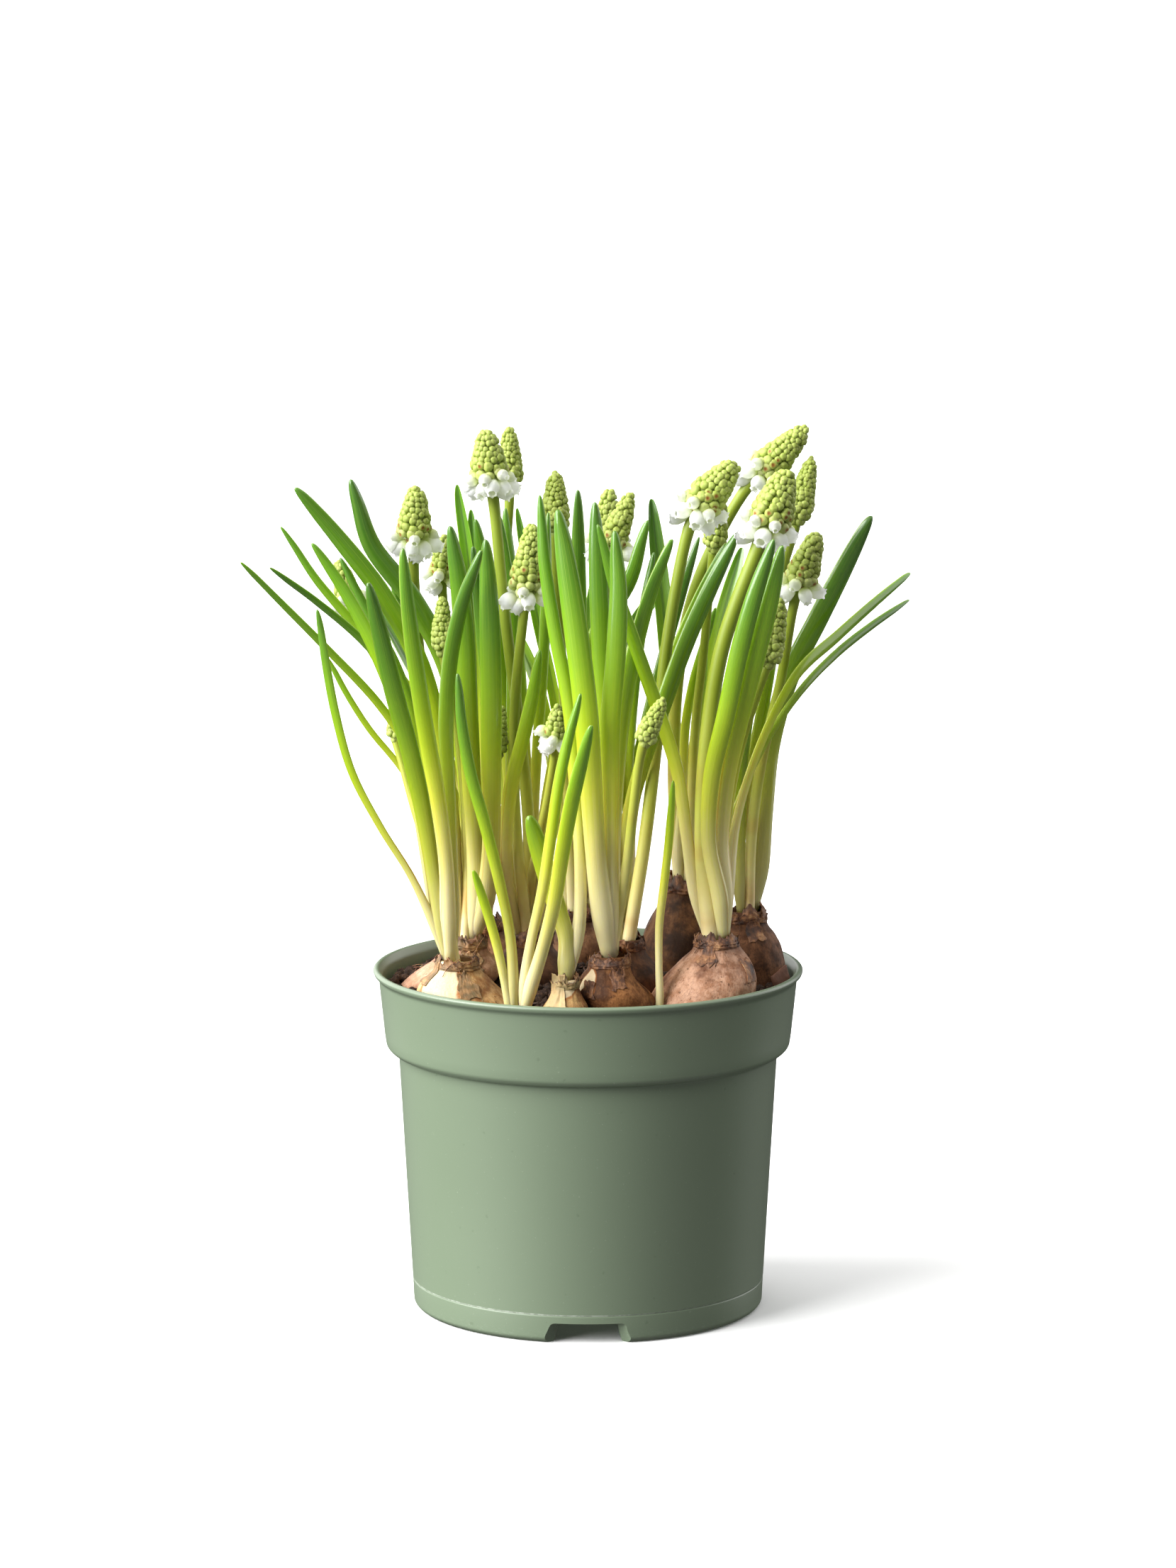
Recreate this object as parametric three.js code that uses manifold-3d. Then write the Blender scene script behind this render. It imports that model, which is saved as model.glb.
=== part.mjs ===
// A pot of white grape hyacinths: a moulded plant pot, its soil, twelve bulbs that sit high in the
// soil, the leaf tuft of each bulb, and the flower spikes with their open bells.
// Millimetres, +Z up. The origin is on the pot's axis at the floor.
import * as THREE from "three";
import { mergeVertices } from "three/addons/utils/BufferGeometryUtils.js";
import Module from "manifold-3d";

const wasm = await Module();
wasm.setup();

// ---------------------------------------------------------------- driving dimensions

const CLEARANCE = 0.3; // between any two pieces that touch

const RIM_RADIUS = 60; // a 12 cm pot
const POT_HEIGHT = 96;
const POT_WALL = 1.2;
const POT_SIDES = 26;
const FLOOR_UNDERSIDE = 5.2;
const FLOOR_TOP = FLOOR_UNDERSIDE + POT_WALL;
const NOTCHES = 3;
const NOTCH_HEIGHT = 5.8;
const NOTCH_START = 45; // from the pot's axis, outwards through the foot ring
const NOTCH_END = 50.5;
const NOTCH_INNER = [14.5, 19.5]; // its width at the top and at the floor, where it starts
const NOTCH_OUTER = [25, 32]; // and where it ends, so that its sides splay out
const DRAIN_HOLES = 4;
const DRAIN_RADIUS = 4;
const DRAIN_CIRCLE = 32;

const SOIL_LEVEL = 90;

const BULB_SIDES = 9;
const COLLAR_WALL = 0.9; // of a bulb's neck round the leaf bases
const SOCKET_DEPTH = 6;
const SHEATH_RISE = 3; // how far the fused leaf bases stand out of the neck

const TUFT_HEIGHT = 15; // above the neck, within which the leaves of one bulb may touch
const BELL_LENGTH = 5.5; // on the largest head; smaller heads have smaller bells
const BELL_RADIUS = 2.1;
const WHORL_DROP = 3.2; // from the upper whorl of bells to the lower one
const FINENESS = 0.07; // detail smaller than this is left out of the fused leaves

const ROOM = 0.7; // air between strands
const SETTLE_ROUNDS = 80;
const NEAR = 34; // stretches whose middles lie further apart never meet
const ROOT_ROOM = 0.8; // what the middle of a leaf's foot wants between itself and a stalk
const ROOT_TURNS = [0, 12, -12, 24, -24, 36, -36, 48, -48, 60, -60, 72, -72]; // ways to find it, in degrees
const SIDEWAYS = 0.6; // strands give way to the front or back more than to the side

// Each plant: at = the bulb's axis, radius and widest = its belly and the belly's height, neck = the
// middle of the collar's mouth, collar = the collar's radius and height. A leaf is its width, the way
// its back faces in degrees (0 to the front, 90 to the right) and the points its midrib passes on the
// way to the tip. A spike is the radius of its stalk and of its bud cone, the cone's length, its
// number of bells, and its route.
const PLANTS = [
  {
    name: "01",
    at: [-31, -28],
    radius: 12.5,
    widest: 90,
    neck: [-36, -27, 103],
    collar: [5.4, 3],
    leaves: [
      [3.6, -60, [-46, -30, 122], [-63, -36, 153], [-69, -40, 175], [-73, -42, 202]],
      [4.6, -30, [-45, -25, 137], [-53, -22, 172], [-66, -20, 201], [-76, -20, 217]],
      [5.2, -10, [-42, -31, 130], [-46, -34, 154], [-52, -37, 178], [-59, -40, 209]],
      [4.9, 10, [-39, -33, 134], [-45, -36, 174], [-48, -37, 197], [-50, -38, 218]],
      [4.5, 30, [-38, -26, 137], [-39, -22, 172], [-36, -22, 195], [-29, -26, 216]],
      [3.4, -20, [-43, -20, 142], [-52, -14, 178], [-60, -12, 196], [-67, -10, 213]],
    ],
    spikes: [[1.2, 2.0, 9, 0, [-45, -22, 136], [-50, -18, 159], [-53, -16, 171]]],
  },
  {
    name: "02",
    at: [-41, -2],
    radius: 12.3,
    widest: 92,
    neck: [-34, -4, 105],
    collar: [5.4, 4],
    leaves: [
      [5.8, -20, [-36, -4, 133], [-43, -6, 171], [-51, -8, 191], [-62, -10, 207], [-81, -14, 231]],
      [5.8, -10, [-34, -1, 139], [-38, 2, 176], [-44, 2, 194], [-57, 2, 210], [-65, 2, 233]],
      [5.8, 0, [-33, -8, 134], [-34, -10, 170], [-35, -11, 198], [-38, -12, 221]],
      [5.9, 5, [-28, -10, 122], [-27, -14, 151], [-27, -17, 191], [-28, -18, 218]],
      [3.6, -40, [-37, -8, 130], [-47, -18, 159], [-58, -24, 176], [-75, -32, 195], [-93, -42, 215]],
      [4.0, -15, [-37, 0, 139], [-45, 2, 172], [-49, 3, 188], [-53, 3, 204]],
    ],
    spikes: [
      [1.7, 4.6, 16, 6, [-37, 2, 132], [-45, 4, 168], [-49, 2, 205], [-48, 0, 230]],
      [1.4, 3.0, 16, 0, [-34, -2, 133], [-37, -6, 169], [-40, -8, 185], [-40, -8, 201]],
      [1.3, 2.6, 14, 0, [-27, -4, 129], [-24, -6, 155], [-22, -6, 170]],
    ],
  },
  {
    name: "03",
    at: [-20, -43],
    radius: 7.4,
    widest: 80,
    neck: [-19, -42, 90],
    collar: [4.4, 3],
    leaves: [
      [3.0, -30, [-25, -46, 111], [-31, -50, 132]],
      [3.4, -15, [-21, -46, 111], [-26, -50, 137], [-33, -52, 165], [-35, -52, 186]],
      [3.2, 5, [-17, -46, 103], [-12, -50, 128], [-7, -53, 161], [-2, -55, 181]],
      [4.3, 15, [-14, -48, 104], [-10, -52, 118], [-5, -58, 148], [1, -66, 174]],
    ],
    spikes: [],
  },
  {
    name: "04",
    at: [-7, -45],
    radius: 6.3,
    widest: 91,
    neck: [-6, -45, 101],
    collar: [3.4, 3],
    leaves: [
      [5.5, -20, [-6, -44, 111], [-10, -44, 125], [-16, -44, 146]],
      [3.9, -15, [-2, -43, 119], [-3, -40, 145], [-5, -38, 174], [-11, -36, 207], [-13, -34, 232]],
    ],
    spikes: [],
  },
  {
    name: "05",
    at: [9, -35],
    radius: 10,
    widest: 93,
    neck: [6, -37, 106],
    collar: [5.0, 4],
    leaves: [
      [6.7, -5, [3, -41, 136], [0, -44, 175], [-4, -44, 204], [-8, -42, 229]],
      [5.5, 5, [6, -40, 136], [6, -42, 175], [8, -42, 200], [7, -40, 223]],
      [5.5, 25, [7, -34, 138], [10, -31, 173], [16, -28, 200], [23, -26, 219]],
    ],
    spikes: [[1.5, 2.9, 14, 0, [10, -44, 136], [14, -50, 165], [20, -52, 179]]],
  },
  {
    name: "06",
    at: [8, -12],
    radius: 11.5,
    widest: 92,
    neck: [10, -12, 106],
    collar: [5.2, 4],
    leaves: [
      [5.5, -5, [7, -16, 141], [4, -18, 191], [2, -16, 228]],
      [5.1, 30, [13, -14, 135], [23, -18, 171], [31, -20, 195], [42, -22, 220]],
      [4.0, 25, [12, -8, 140], [20, -8, 170], [26, -9, 190], [38, -10, 216]],
      [3.6, 20, [11, -4, 139], [17, 0, 169], [23, 2, 190], [31, 4, 216]],
      [3.4, 10, [10, -4, 149], [13, 0, 182], [18, 2, 212]],
    ],
    spikes: [
      [1.6, 3.8, 17, 4, [10, -6, 140], [8, 0, 178], [6, 4, 208], [12, 4, 228]],
      [1.9, 5.4, 18, 8, [15, -14, 151], [20, -16, 194], [26, -16, 221], [40, -16, 239]],
    ],
  },
  {
    name: "07",
    at: [-16, 6],
    radius: 11.5,
    widest: 91,
    neck: [-16, 6, 104],
    collar: [5.7, 4],
    leaves: [
      [4.3, 10, [-21, -4, 129], [-20, -8, 150], [-16, -10, 170], [-14, -12, 187]],
      [4.5, -10, [-19, 2, 138], [-20, -2, 189], [-22, -3, 203], [-25, -4, 223]],
      [4.4, -20, [-20, 8, 137], [-25, 6, 188], [-31, 4, 221]],
      [4.0, -5, [-17, 10, 137], [-20, 12, 187], [-23, 14, 223]],
      [4.0, -30, [-21, 12, 131], [-28, 16, 176], [-32, 16, 212]],
      [3.2, 10, [-15, 8, 137], [-12, 10, 187], [-11, 12, 222]],
      [5.0, 30, [-15, 2, 132], [-7, -6, 169], [1, -10, 190], [10, -14, 204], [16, -16, 223]],
    ],
    spikes: [
      [1.8, 5.0, 15, 9, [-19, 0, 133], [-23, -6, 177], [-26, -8, 209], [-27, -8, 226], [-28, -8, 247]],
      [1.6, 4.5, 20, 4, [-21, -2, 133], [-21, -8, 170], [-18, -14, 198], [-15, -16, 222]],
      [1.3, 3.2, 10, 5, [-15, 0, 120], [-12, -15, 138], [-9, -26, 158], [-8, -33, 174]],
    ],
  },
  {
    name: "08",
    at: [30, -27],
    radius: 14,
    widest: 91,
    neck: [35, -26, 109],
    collar: [5.4, 3],
    leaves: [
      [5.1, -20, [31, -30, 142], [37, -36, 174], [43, -40, 200], [50, -42, 221]],
      [5.6, 20, [35, -28, 141], [41, -34, 174], [47, -38, 197], [52, -40, 219]],
      [4.2, -20, [28, -30, 153], [18, -32, 181], [8, -34, 207], [3, -34, 224]],
      [4.3, 60, [41, -22, 142], [55, -12, 176], [71, 8, 189], [91, 35, 202]],
      [3.0, 60, [42, -18, 146], [57, -4, 171], [71, 14, 183], [91, 38, 194]],
    ],
    spikes: [
      [2.4, 5.8, 18, 8, [32, -26, 133], [32, -27, 153], [34, -28, 181], [41, -28, 204], [54, -26, 238]],
      [1.5, 3.5, 19, 0, [38, -20, 142], [44, -16, 169], [49, -16, 183], [53, -16, 201]],
    ],
  },
  {
    name: "09",
    at: [41, 3],
    radius: 13,
    widest: 91,
    neck: [44, 4, 111],
    collar: [5.4, 4],
    leaves: [
      [6.7, 30, [48, 6, 138], [50, 8, 157], [55, 10, 175], [66, 14, 196], [79, 20, 220]],
      [3.5, 0, [45, 8, 147], [50, 10, 177], [56, 12, 216]],
      [3.5, -10, [43, 2, 132], [43, 0, 153], [46, -2, 177]],
      [4.6, 130, [49, 14, 138], [58, 30, 172], [72, 50, 200]],
    ],
    spikes: [
      [1.6, 3.6, 19, 0, [44, 8, 141], [48, 8, 177], [54, 6, 201], [58, 6, 218], [62, 6, 238]],
      [1.6, 4.4, 17, 5, [46, 4, 142], [53, -4, 177], [57, -8, 201], [63, -10, 219]],
    ],
  },
  {
    name: "10",
    at: [25, 25],
    radius: 11,
    widest: 94,
    neck: [27, 26, 116],
    collar: [4.8, 5],
    leaves: [
      [3.0, 30, [28, 22, 145], [29, 18, 166], [36, 14, 195]],
      [3.0, 20, [29, 24, 145], [31, 22, 165], [33, 20, 181]],
      [4.8, 160, [30, 34, 145], [36, 46, 180], [44, 62, 206]],
      [5.0, 180, [25, 34, 145], [22, 44, 185], [18, 54, 221]],
    ],
    spikes: [
      [1.4, 3.2, 15, 0, [29, 20, 155], [32, 10, 187], [34, 6, 209], [37, 4, 227]],
      [1.9, 4.8, 18, 7, [26, 24, 149], [27, 18, 180], [31, 12, 201], [37, 10, 219], [60, 6, 246]],
    ],
  },
  {
    name: "11",
    at: [-3, 38],
    radius: 12.5,
    widest: 91,
    neck: [-3, 38, 105],
    collar: [5.2, 4],
    leaves: [
      [4.5, 0, [-2, 36, 153], [-3, 34, 194], [-3, 32, 226]],
      [3.5, 160, [-7, 40, 152], [-15, 40, 193], [-20, 40, 220]],
      [5.2, 180, [-2, 44, 137], [0, 52, 175], [5, 66, 208]],
      [5.0, 150, [3, 42, 139], [10, 48, 180], [22, 60, 196]],
      [4.6, -150, [-8, 44, 136], [-16, 54, 172], [-30, 64, 195]],
    ],
    spikes: [
      [1.6, 4.0, 17, 0, [-5, 36, 143], [-8, 28, 195], [-9, 24, 215], [-9, 22, 232]],
      [1.6, 4.2, 16, 5, [0, 42, 140], [4, 46, 185], [6, 48, 224]],
    ],
  },
  {
    name: "12",
    at: [-29, 26],
    radius: 12.5,
    widest: 91,
    neck: [-30, 26, 104],
    collar: [5.4, 4],
    leaves: [
      [3.2, -40, [-36, 24, 135], [-51, 16, 170], [-65, 10, 188], [-88, 0, 208]],
      [3.2, -30, [-38, 26, 144], [-57, 24, 179], [-71, 22, 194], [-86, 20, 217]],
      [3.0, -60, [-40, 24, 124], [-50, 20, 145], [-57, 18, 154], [-65, 14, 166], [-73, 10, 182]],
      [4.4, 180, [-32, 28, 144], [-33, 28, 185], [-34, 28, 205], [-37, 28, 228]],
      [4.0, 170, [-30, 32, 143], [-31, 34, 184], [-33, 36, 220]],
      [4.8, -150, [-36, 34, 134], [-46, 46, 165], [-60, 58, 188]],
    ],
    spikes: [
      [1.5, 3.6, 17, 0, [-28, 26, 134], [-25, 22, 185], [-22, 20, 228], [-22, 20, 245]],
      [1.5, 3.4, 13, 5, [-32, 30, 134], [-38, 24, 175], [-41, 20, 196], [-40, 18, 215]],
      [1.4, 3.4, 13, 4, [-38, 34, 137], [-52, 34, 167], [-65, 34, 190], [-70, 34, 206]],
    ],
  },
];

// A young leaf that comes up out of the soil between two bulbs.
const SHOOT = { root: [19, -38, 87], leaf: [2.4, -10, [19, -37, 115], [21, -38, 131], [23, -40, 155]] };

// ---------------------------------------------------------------- colours

const COLOURS = {
  pot: 0x7d9478,
  soil: 0x2c2019,
  bulb: 0xa9825f,
  leaf: 0x7fae3c,
  stalk: 0xa9bf55,
  bell: 0xf4f4ec,
};

function finish(colour, roughness) {
  return new THREE.MeshStandardMaterial({ color: colour, roughness, metalness: 0 });
}

// ---------------------------------------------------------------- solids

// A closed three.js geometry as a manifold solid, its faces turned outwards.
function solidOf(geometry) {
  const bare = new THREE.BufferGeometry();
  bare.setAttribute("position", geometry.getAttribute("position").clone());
  if (geometry.index) bare.setIndex(geometry.index.clone());
  const merged = mergeVertices(bare, 1e-4);
  const corners = merged.getAttribute("position").array;
  const faces = new Uint32Array(merged.index.array);
  const solid = new wasm.Manifold(
    new wasm.Mesh({ numProp: 3, vertProperties: corners, triVerts: faces }),
  );
  if (solid.volume() > 0) return solid;
  const flipped = faces.map((_, i, all) => all[turned(i)]);
  return new wasm.Manifold(new wasm.Mesh({ numProp: 3, vertProperties: corners, triVerts: flipped }));
}

// The index that swaps the last two corners of each triangle.
function turned(i) {
  return i % 3 === 0 ? i : i % 3 === 1 ? i + 1 : i - 1;
}

function geometryOf(solid) {
  const mesh = solid.getMesh();
  const geometry = new THREE.BufferGeometry();
  geometry.setAttribute("position", new THREE.BufferAttribute(new Float32Array(mesh.vertProperties), 3));
  geometry.setIndex(new THREE.BufferAttribute(new Uint32Array(mesh.triVerts), 1));
  geometry.computeVertexNormals();
  return geometry;
}

function unionOf(solids) {
  return solids.reduce((all, next) => all.add(next));
}

// The largest body of a solid: loose scraps of a cut are dropped.
function mainBody(solid) {
  const bodies = solid.decompose();
  return bodies.reduce((best, next) => (next.volume() > best.volume() ? next : best));
}

// A closed skin over rings of points. A ring of one point is a tip; other end rings are closed flat.
function skin(rings) {
  const points = [];
  const faces = [];
  const starts = rings.map((ring) => {
    const start = points.length;
    points.push(...ring);
    return start;
  });
  for (let r = 0; r + 1 < rings.length; r++) {
    const [low, high] = [rings[r].length, rings[r + 1].length];
    const sides = Math.max(low, high);
    for (let i = 0; i < sides; i++) {
      const j = (i + 1) % sides;
      const a = starts[r] + (i % low);
      const b = starts[r] + (j % low);
      const c = starts[r + 1] + (j % high);
      const d = starts[r + 1] + (i % high);
      if (a !== b) faces.push(a, b, c);
      if (c !== d) faces.push(a, c, d);
    }
  }
  closeRing(faces, starts[0], rings[0].length, true);
  closeRing(faces, starts.at(-1), rings.at(-1).length, false);
  return meshOf(points, faces);
}

function meshOf(points, faces) {
  const numbers = points.flatMap((p) => p.toArray());
  const geometry = new THREE.BufferGeometry();
  geometry.setAttribute("position", new THREE.Float32BufferAttribute(numbers, 3));
  geometry.setIndex(faces);
  return geometry;
}

function closeRing(faces, start, count, first) {
  for (let i = 1; i + 1 < count; i++) {
    if (first) faces.push(start, start + i + 1, start + i);
    else faces.push(start, start + i, start + i + 1);
  }
}

// A lathe turned about Z from a profile of [radius, height] pairs.
function turnedSolid(profile, sides) {
  const points = profile.map(([r, z]) => new THREE.Vector2(r, z));
  return new THREE.LatheGeometry(points, sides).rotateX(Math.PI / 2);
}

function tubeAlong(points, radii, sides) {
  const frames = framesAlong(points, 0);
  return skin(
    points.map((p, k) => {
      const ring = [];
      for (let i = 0; i < sides; i++) {
        const angle = (2 * Math.PI * i) / sides;
        ring.push(
          p
            .clone()
            .addScaledVector(frames[k].side, radii[k] * Math.cos(angle))
            .addScaledVector(frames[k].back, radii[k] * Math.sin(angle)),
        );
      }
      return ring;
    }),
  );
}

// ---------------------------------------------------------------- strands: leaves and stalks

// Midrib or stalk axis through a route, as points at the given shares of its length.
function pointsAlong(route, shares) {
  const curve = new THREE.CatmullRomCurve3(route, false, "centripetal");
  return shares.map((share) => curve.getPointAt(share));
}

// At each point: the way along the strand, the way its back faces, and the way to its side.
function framesAlong(points, turn) {
  const facing = new THREE.Vector3(
    Math.sin(THREE.MathUtils.degToRad(turn)),
    -Math.cos(THREE.MathUtils.degToRad(turn)),
    0,
  );
  return points.map((_, k) => {
    const along = points[Math.min(k + 1, points.length - 1)]
      .clone()
      .sub(points[Math.max(k - 1, 0)])
      .normalize();
    const back = facing.clone().addScaledVector(along, -facing.dot(along)).normalize();
    const side = new THREE.Vector3().crossVectors(along, back);
    return { along, back, side };
  });
}

const asVector = ([x, y, z]) => new THREE.Vector3(x, y, z);

// Shares of a leaf's length at its sections, closer together where it tapers to the tip.
const LEAF_SHARES = [0, 0.1, 0.24, 0.4, 0.56, 0.72, 0.86, 0.95, 1];
const STEPS = LEAF_SHARES.length - 1; // stretches along each leaf, and each spike

// A leaf is narrow and thick where it leaves the bulb, full in the middle and pointed at its tip.
function leafWidth(share) {
  const { smoothstep } = THREE.MathUtils;
  const foot = 0.55 + 0.25 * smoothstep(share, 0, 0.12) + 0.2 * smoothstep(share, 0.1, 0.6);
  const tip = Math.sqrt(1 - THREE.MathUtils.clamp((share - 0.68) / 0.32, 0, 1) ** 2.4);
  return foot * tip;
}

function leafThickness(width, share) {
  const full = THREE.MathUtils.smoothstep(share, 0, 0.5);
  return Math.max(1.25, width * THREE.MathUtils.lerp(0.42, 0.3, full));
}

function makeLeaf(plant, [width, turn, ...route], root) {
  const points = pointsAlong([root, ...route.map(asVector)], LEAF_SHARES);
  return {
    kind: "leaf",
    plant,
    turn,
    width,
    points,
    halfSide: LEAF_SHARES.map((s) => Math.max(0.5, (width / 2) * leafWidth(s))),
    halfBack: LEAF_SHARES.map((s) => leafThickness(width, s) / 2),
  };
}

// A spike's points: even along the stalk to where its bells hang, and four up its bud cone.
function makeSpike(plant, [stalk, bud, cone, bells, ...route], root) {
  const curve = new THREE.CatmullRomCurve3([root, ...route.map(asVector)], false, "centripetal");
  const length = curve.getLength();
  const neck = 1 - cone / length;
  const below = neck - BELL_LENGTH / length;
  const shares = [0, 0.25, 0.5, 0.75, 1].map((s) => s * below);
  shares.push(neck, neck + (1 - neck) / 3, neck + ((1 - neck) * 2) / 3, 1);
  const skirt = bells > 0 ? bud + 1.8 : bud;
  const lowest = bells > 0 ? skirt : stalk;
  const halfSide = [stalk, stalk, stalk, stalk, lowest, skirt, bud, bud * 0.8, bud * 0.4];
  return {
    kind: "spike",
    plant,
    turn: 0,
    stalk,
    bud,
    cone,
    bells,
    points: shares.map((s) => curve.getPointAt(s)),
    halfSide,
    halfBack: halfSide,
  };
}

// The roots of a plant's leaves stand round its neck, each on the side that the leaf leans to, or as
// near to that side as its stalks leave room.
function leafRoot(neck, sheath, [width, , ...route], stalks) {
  const target = asVector(route[Math.min(1, route.length - 1)]);
  const lean = Math.atan2(target.y - neck.y, target.x - neck.x);
  const circle = sheath - 0.3 * width;
  const places = ROOT_TURNS.map((turn) => {
    const angle = lean + THREE.MathUtils.degToRad(turn);
    const at = new THREE.Vector3(neck.x + circle * Math.cos(angle), neck.y + circle * Math.sin(angle), neck.z);
    const rooms = stalks.map(({ points: [p], stalk }) => Math.hypot(at.x - p.x, at.y - p.y) - stalk);
    return { at, room: Math.min(ROOT_ROOM, ...rooms) };
  });
  return places.reduce((best, next) => (next.room > best.room ? next : best)).at;
}

// The stalks of a plant stand side by side in the middle of its neck, in the order in which they part.
function spikeRoot(neck, number, spikes) {
  const starts = spikes.map(([, , , , first]) => asVector(first));
  const middle = starts.reduce((sum, p) => sum.clone().add(p)).divideScalar(starts.length);
  const leans = spikes.map(([, , , , [x, y]]) => Math.atan2(y - middle.y, x - middle.x));
  const rank = (i) => leans.filter((lean) => lean < leans[i]).length;
  const angle = leans[0] + (2 * Math.PI * (rank(number) - rank(0))) / spikes.length;
  const others = spikes.filter((_, i) => i !== number).map(([stalk]) => stalk + CLEARANCE);
  const off = others.length ? Math.max(...others) / Math.sin(Math.PI / spikes.length) : 0;
  return new THREE.Vector3(neck.x + off * Math.cos(angle), neck.y + off * Math.sin(angle), neck.z - 1.5);
}

function sheathRadius(plant) {
  return plant.collar[0] - COLLAR_WALL - 1.2 * CLEARANCE;
}

function strandsOf(plant) {
  const neck = asVector(plant.neck);
  const spikes = plant.spikes.map((row, i) => makeSpike(plant.name, row, spikeRoot(neck, i, plant.spikes)));
  const rootOf = (row) => leafRoot(neck, sheathRadius(plant), row, spikes);
  return [...plant.leaves.map((row) => makeLeaf(plant.name, row, rootOf(row))), ...spikes];
}

// ---------------------------------------------------------------- settling

// Where two stretches come closest: shares along each, the way from the second to the first, and
// the distance.
function closest(a0, a1, b0, b1) {
  const u = a1.clone().sub(a0);
  const v = b1.clone().sub(b0);
  const w = a0.clone().sub(b0);
  const [uu, uv, vv, uw, vw] = [u.dot(u), u.dot(v), v.dot(v), u.dot(w), v.dot(w)];
  const slant = uu * vv - uv * uv;
  let s = slant > 1e-9 ? THREE.MathUtils.clamp((uv * vw - vv * uw) / slant, 0, 1) : 0.5;
  const t = THREE.MathUtils.clamp((uv * s + vw) / vv, 0, 1);
  s = THREE.MathUtils.clamp((uv * t - uw) / uu, 0, 1);
  const gap = w.addScaledVector(u, s).addScaledVector(v, -t);
  return { s, t, gap, distance: gap.length() };
}

// How far a strand reaches from its axis in a direction, at a share of one stretch.
function reach(strand, frames, k, share, way) {
  const { side, back } = frames[share < 0.5 ? k : k + 1];
  const halfSide = THREE.MathUtils.lerp(strand.halfSide[k], strand.halfSide[k + 1], share);
  const halfBack = THREE.MathUtils.lerp(strand.halfBack[k], strand.halfBack[k + 1], share);
  return Math.hypot(halfSide * way.dot(side), halfBack * way.dot(back));
}

// Neighbouring strands lean on each other until none runs through another, a bulb or the pot's rim.
function settle(strands) {
  const starts = strands.map((s) => s.points.map((p) => p.clone()));
  const pairs = neighbours(strands);
  for (let round = 0; round < SETTLE_ROUNDS; round++) {
    const frames = strands.map((s) => framesAlong(s.points, s.turn));
    const pushes = strands.map((s) => s.points.map(() => new THREE.Vector3()));
    for (const pair of pairs) pushApart(strands, frames, pushes, pair);
    strands.forEach((strand, i) => pushFromBulbs(strand, pushes[i]));
    strands.forEach((strand, i) => giveWay(strand, starts[i], pushes[i]));
  }
}

// The pairs of stretches that lie near enough to meet: strands i and j, their stretches k and m.
function neighbours(strands) {
  const pairs = [];
  const middle = (strand, k) => strand.points[k].clone().lerp(strand.points[k + 1], 0.5);
  const middles = strands.map((s) => s.points.slice(0, STEPS).map((_, k) => middle(s, k)));
  for (let i = 0; i < strands.length; i++) {
    for (let j = i + 1; j < strands.length; j++) {
      for (let k = 0; k < STEPS; k++) {
        for (let m = 0; m < STEPS; m++) {
          if (middles[i][k].distanceTo(middles[j][m]) < NEAR) pairs.push([i, j, k, m]);
        }
      }
    }
  }
  return pairs;
}

function pushApart(strands, frames, pushes, [i, j, k, m]) {
  const [a, b] = [strands[i], strands[j]];
  const near = closest(a.points[k], a.points[k + 1], b.points[m], b.points[m + 1]);
  const height = THREE.MathUtils.lerp(a.points[k].z, a.points[k + 1].z, near.s);
  const sameTuft = a.plant === b.plant && a.kind === "leaf" && b.kind === "leaf";
  if (sameTuft && height < a.points[0].z + TUFT_HEIGHT) return;
  const way = near.distance > 1e-6 ? near.gap.normalize() : new THREE.Vector3(0, 1, 0);
  const need = reach(a, frames[i], k, near.s, way) + reach(b, frames[j], m, near.t, way) + ROOM;
  if (near.distance >= need) return;
  const push = way.multiplyScalar(0.5 * (need - near.distance));
  push.x *= SIDEWAYS;
  push.z *= SIDEWAYS;
  pushes[i][k].addScaledVector(push, 1 - near.s);
  pushes[i][k + 1].addScaledVector(push, near.s);
  pushes[j][m].addScaledVector(push, near.t - 1);
  pushes[j][m + 1].addScaledVector(push, -near.t);
}

// Strands stay clear of the bulbs of other plants and of the pot's rim.
function pushFromBulbs(strand, pushes) {
  for (let k = 0; k < 4; k++) {
    for (const share of [0, 0.33, 0.67]) {
      const p = strand.points[k].clone().lerp(strand.points[k + 1], share);
      const half = strand.halfSide[k];
      for (const plant of PLANTS) {
        if (plant.name === strand.plant && p.z < plant.neck[2] + 2) continue;
        const bulb = bulbAt(plant, p.z);
        if (!bulb) continue;
        const away = new THREE.Vector3(p.x - bulb.x, p.y - bulb.y, 0);
        const need = bulb.radius + half + ROOM - away.length();
        if (need > 0) pushes[k + (share > 0.5 ? 1 : 0)].addScaledVector(away.normalize(), need);
      }
      const fromAxis = Math.hypot(p.x, p.y);
      const inside = RIM_RADIUS - 3.2 - half;
      if (p.z < POT_HEIGHT + 2 && fromAxis > inside) {
        const inward = new THREE.Vector3(-p.x, -p.y, 0).normalize();
        pushes[k + (share > 0.5 ? 1 : 0)].addScaledVector(inward, fromAxis - inside);
      }
    }
  }
}

function giveWay(strand, start, pushes) {
  const drift = strand.points.map((p, k) => {
    const before = pushes[Math.max(k - 1, 0)];
    const after = pushes[Math.min(k + 1, STEPS)];
    const push = pushes[k].clone().addScaledVector(before, 0.5).addScaledVector(after, 0.5);
    return p.clone().sub(start[k]).addScaledVector(push, 0.5);
  });
  strand.points.forEach((p, k) => {
    if (k === 0) return;
    const before = k === 1 ? new THREE.Vector3() : drift[k - 1];
    const after = drift[Math.min(k + 1, STEPS)];
    const smooth = drift[k].clone().multiplyScalar(2).add(before).add(after).multiplyScalar(0.25);
    p.copy(start[k]).add(drift[k].clone().lerp(smooth, 0.3));
  });
}

// ---------------------------------------------------------------- leaf and flower solids

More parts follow.
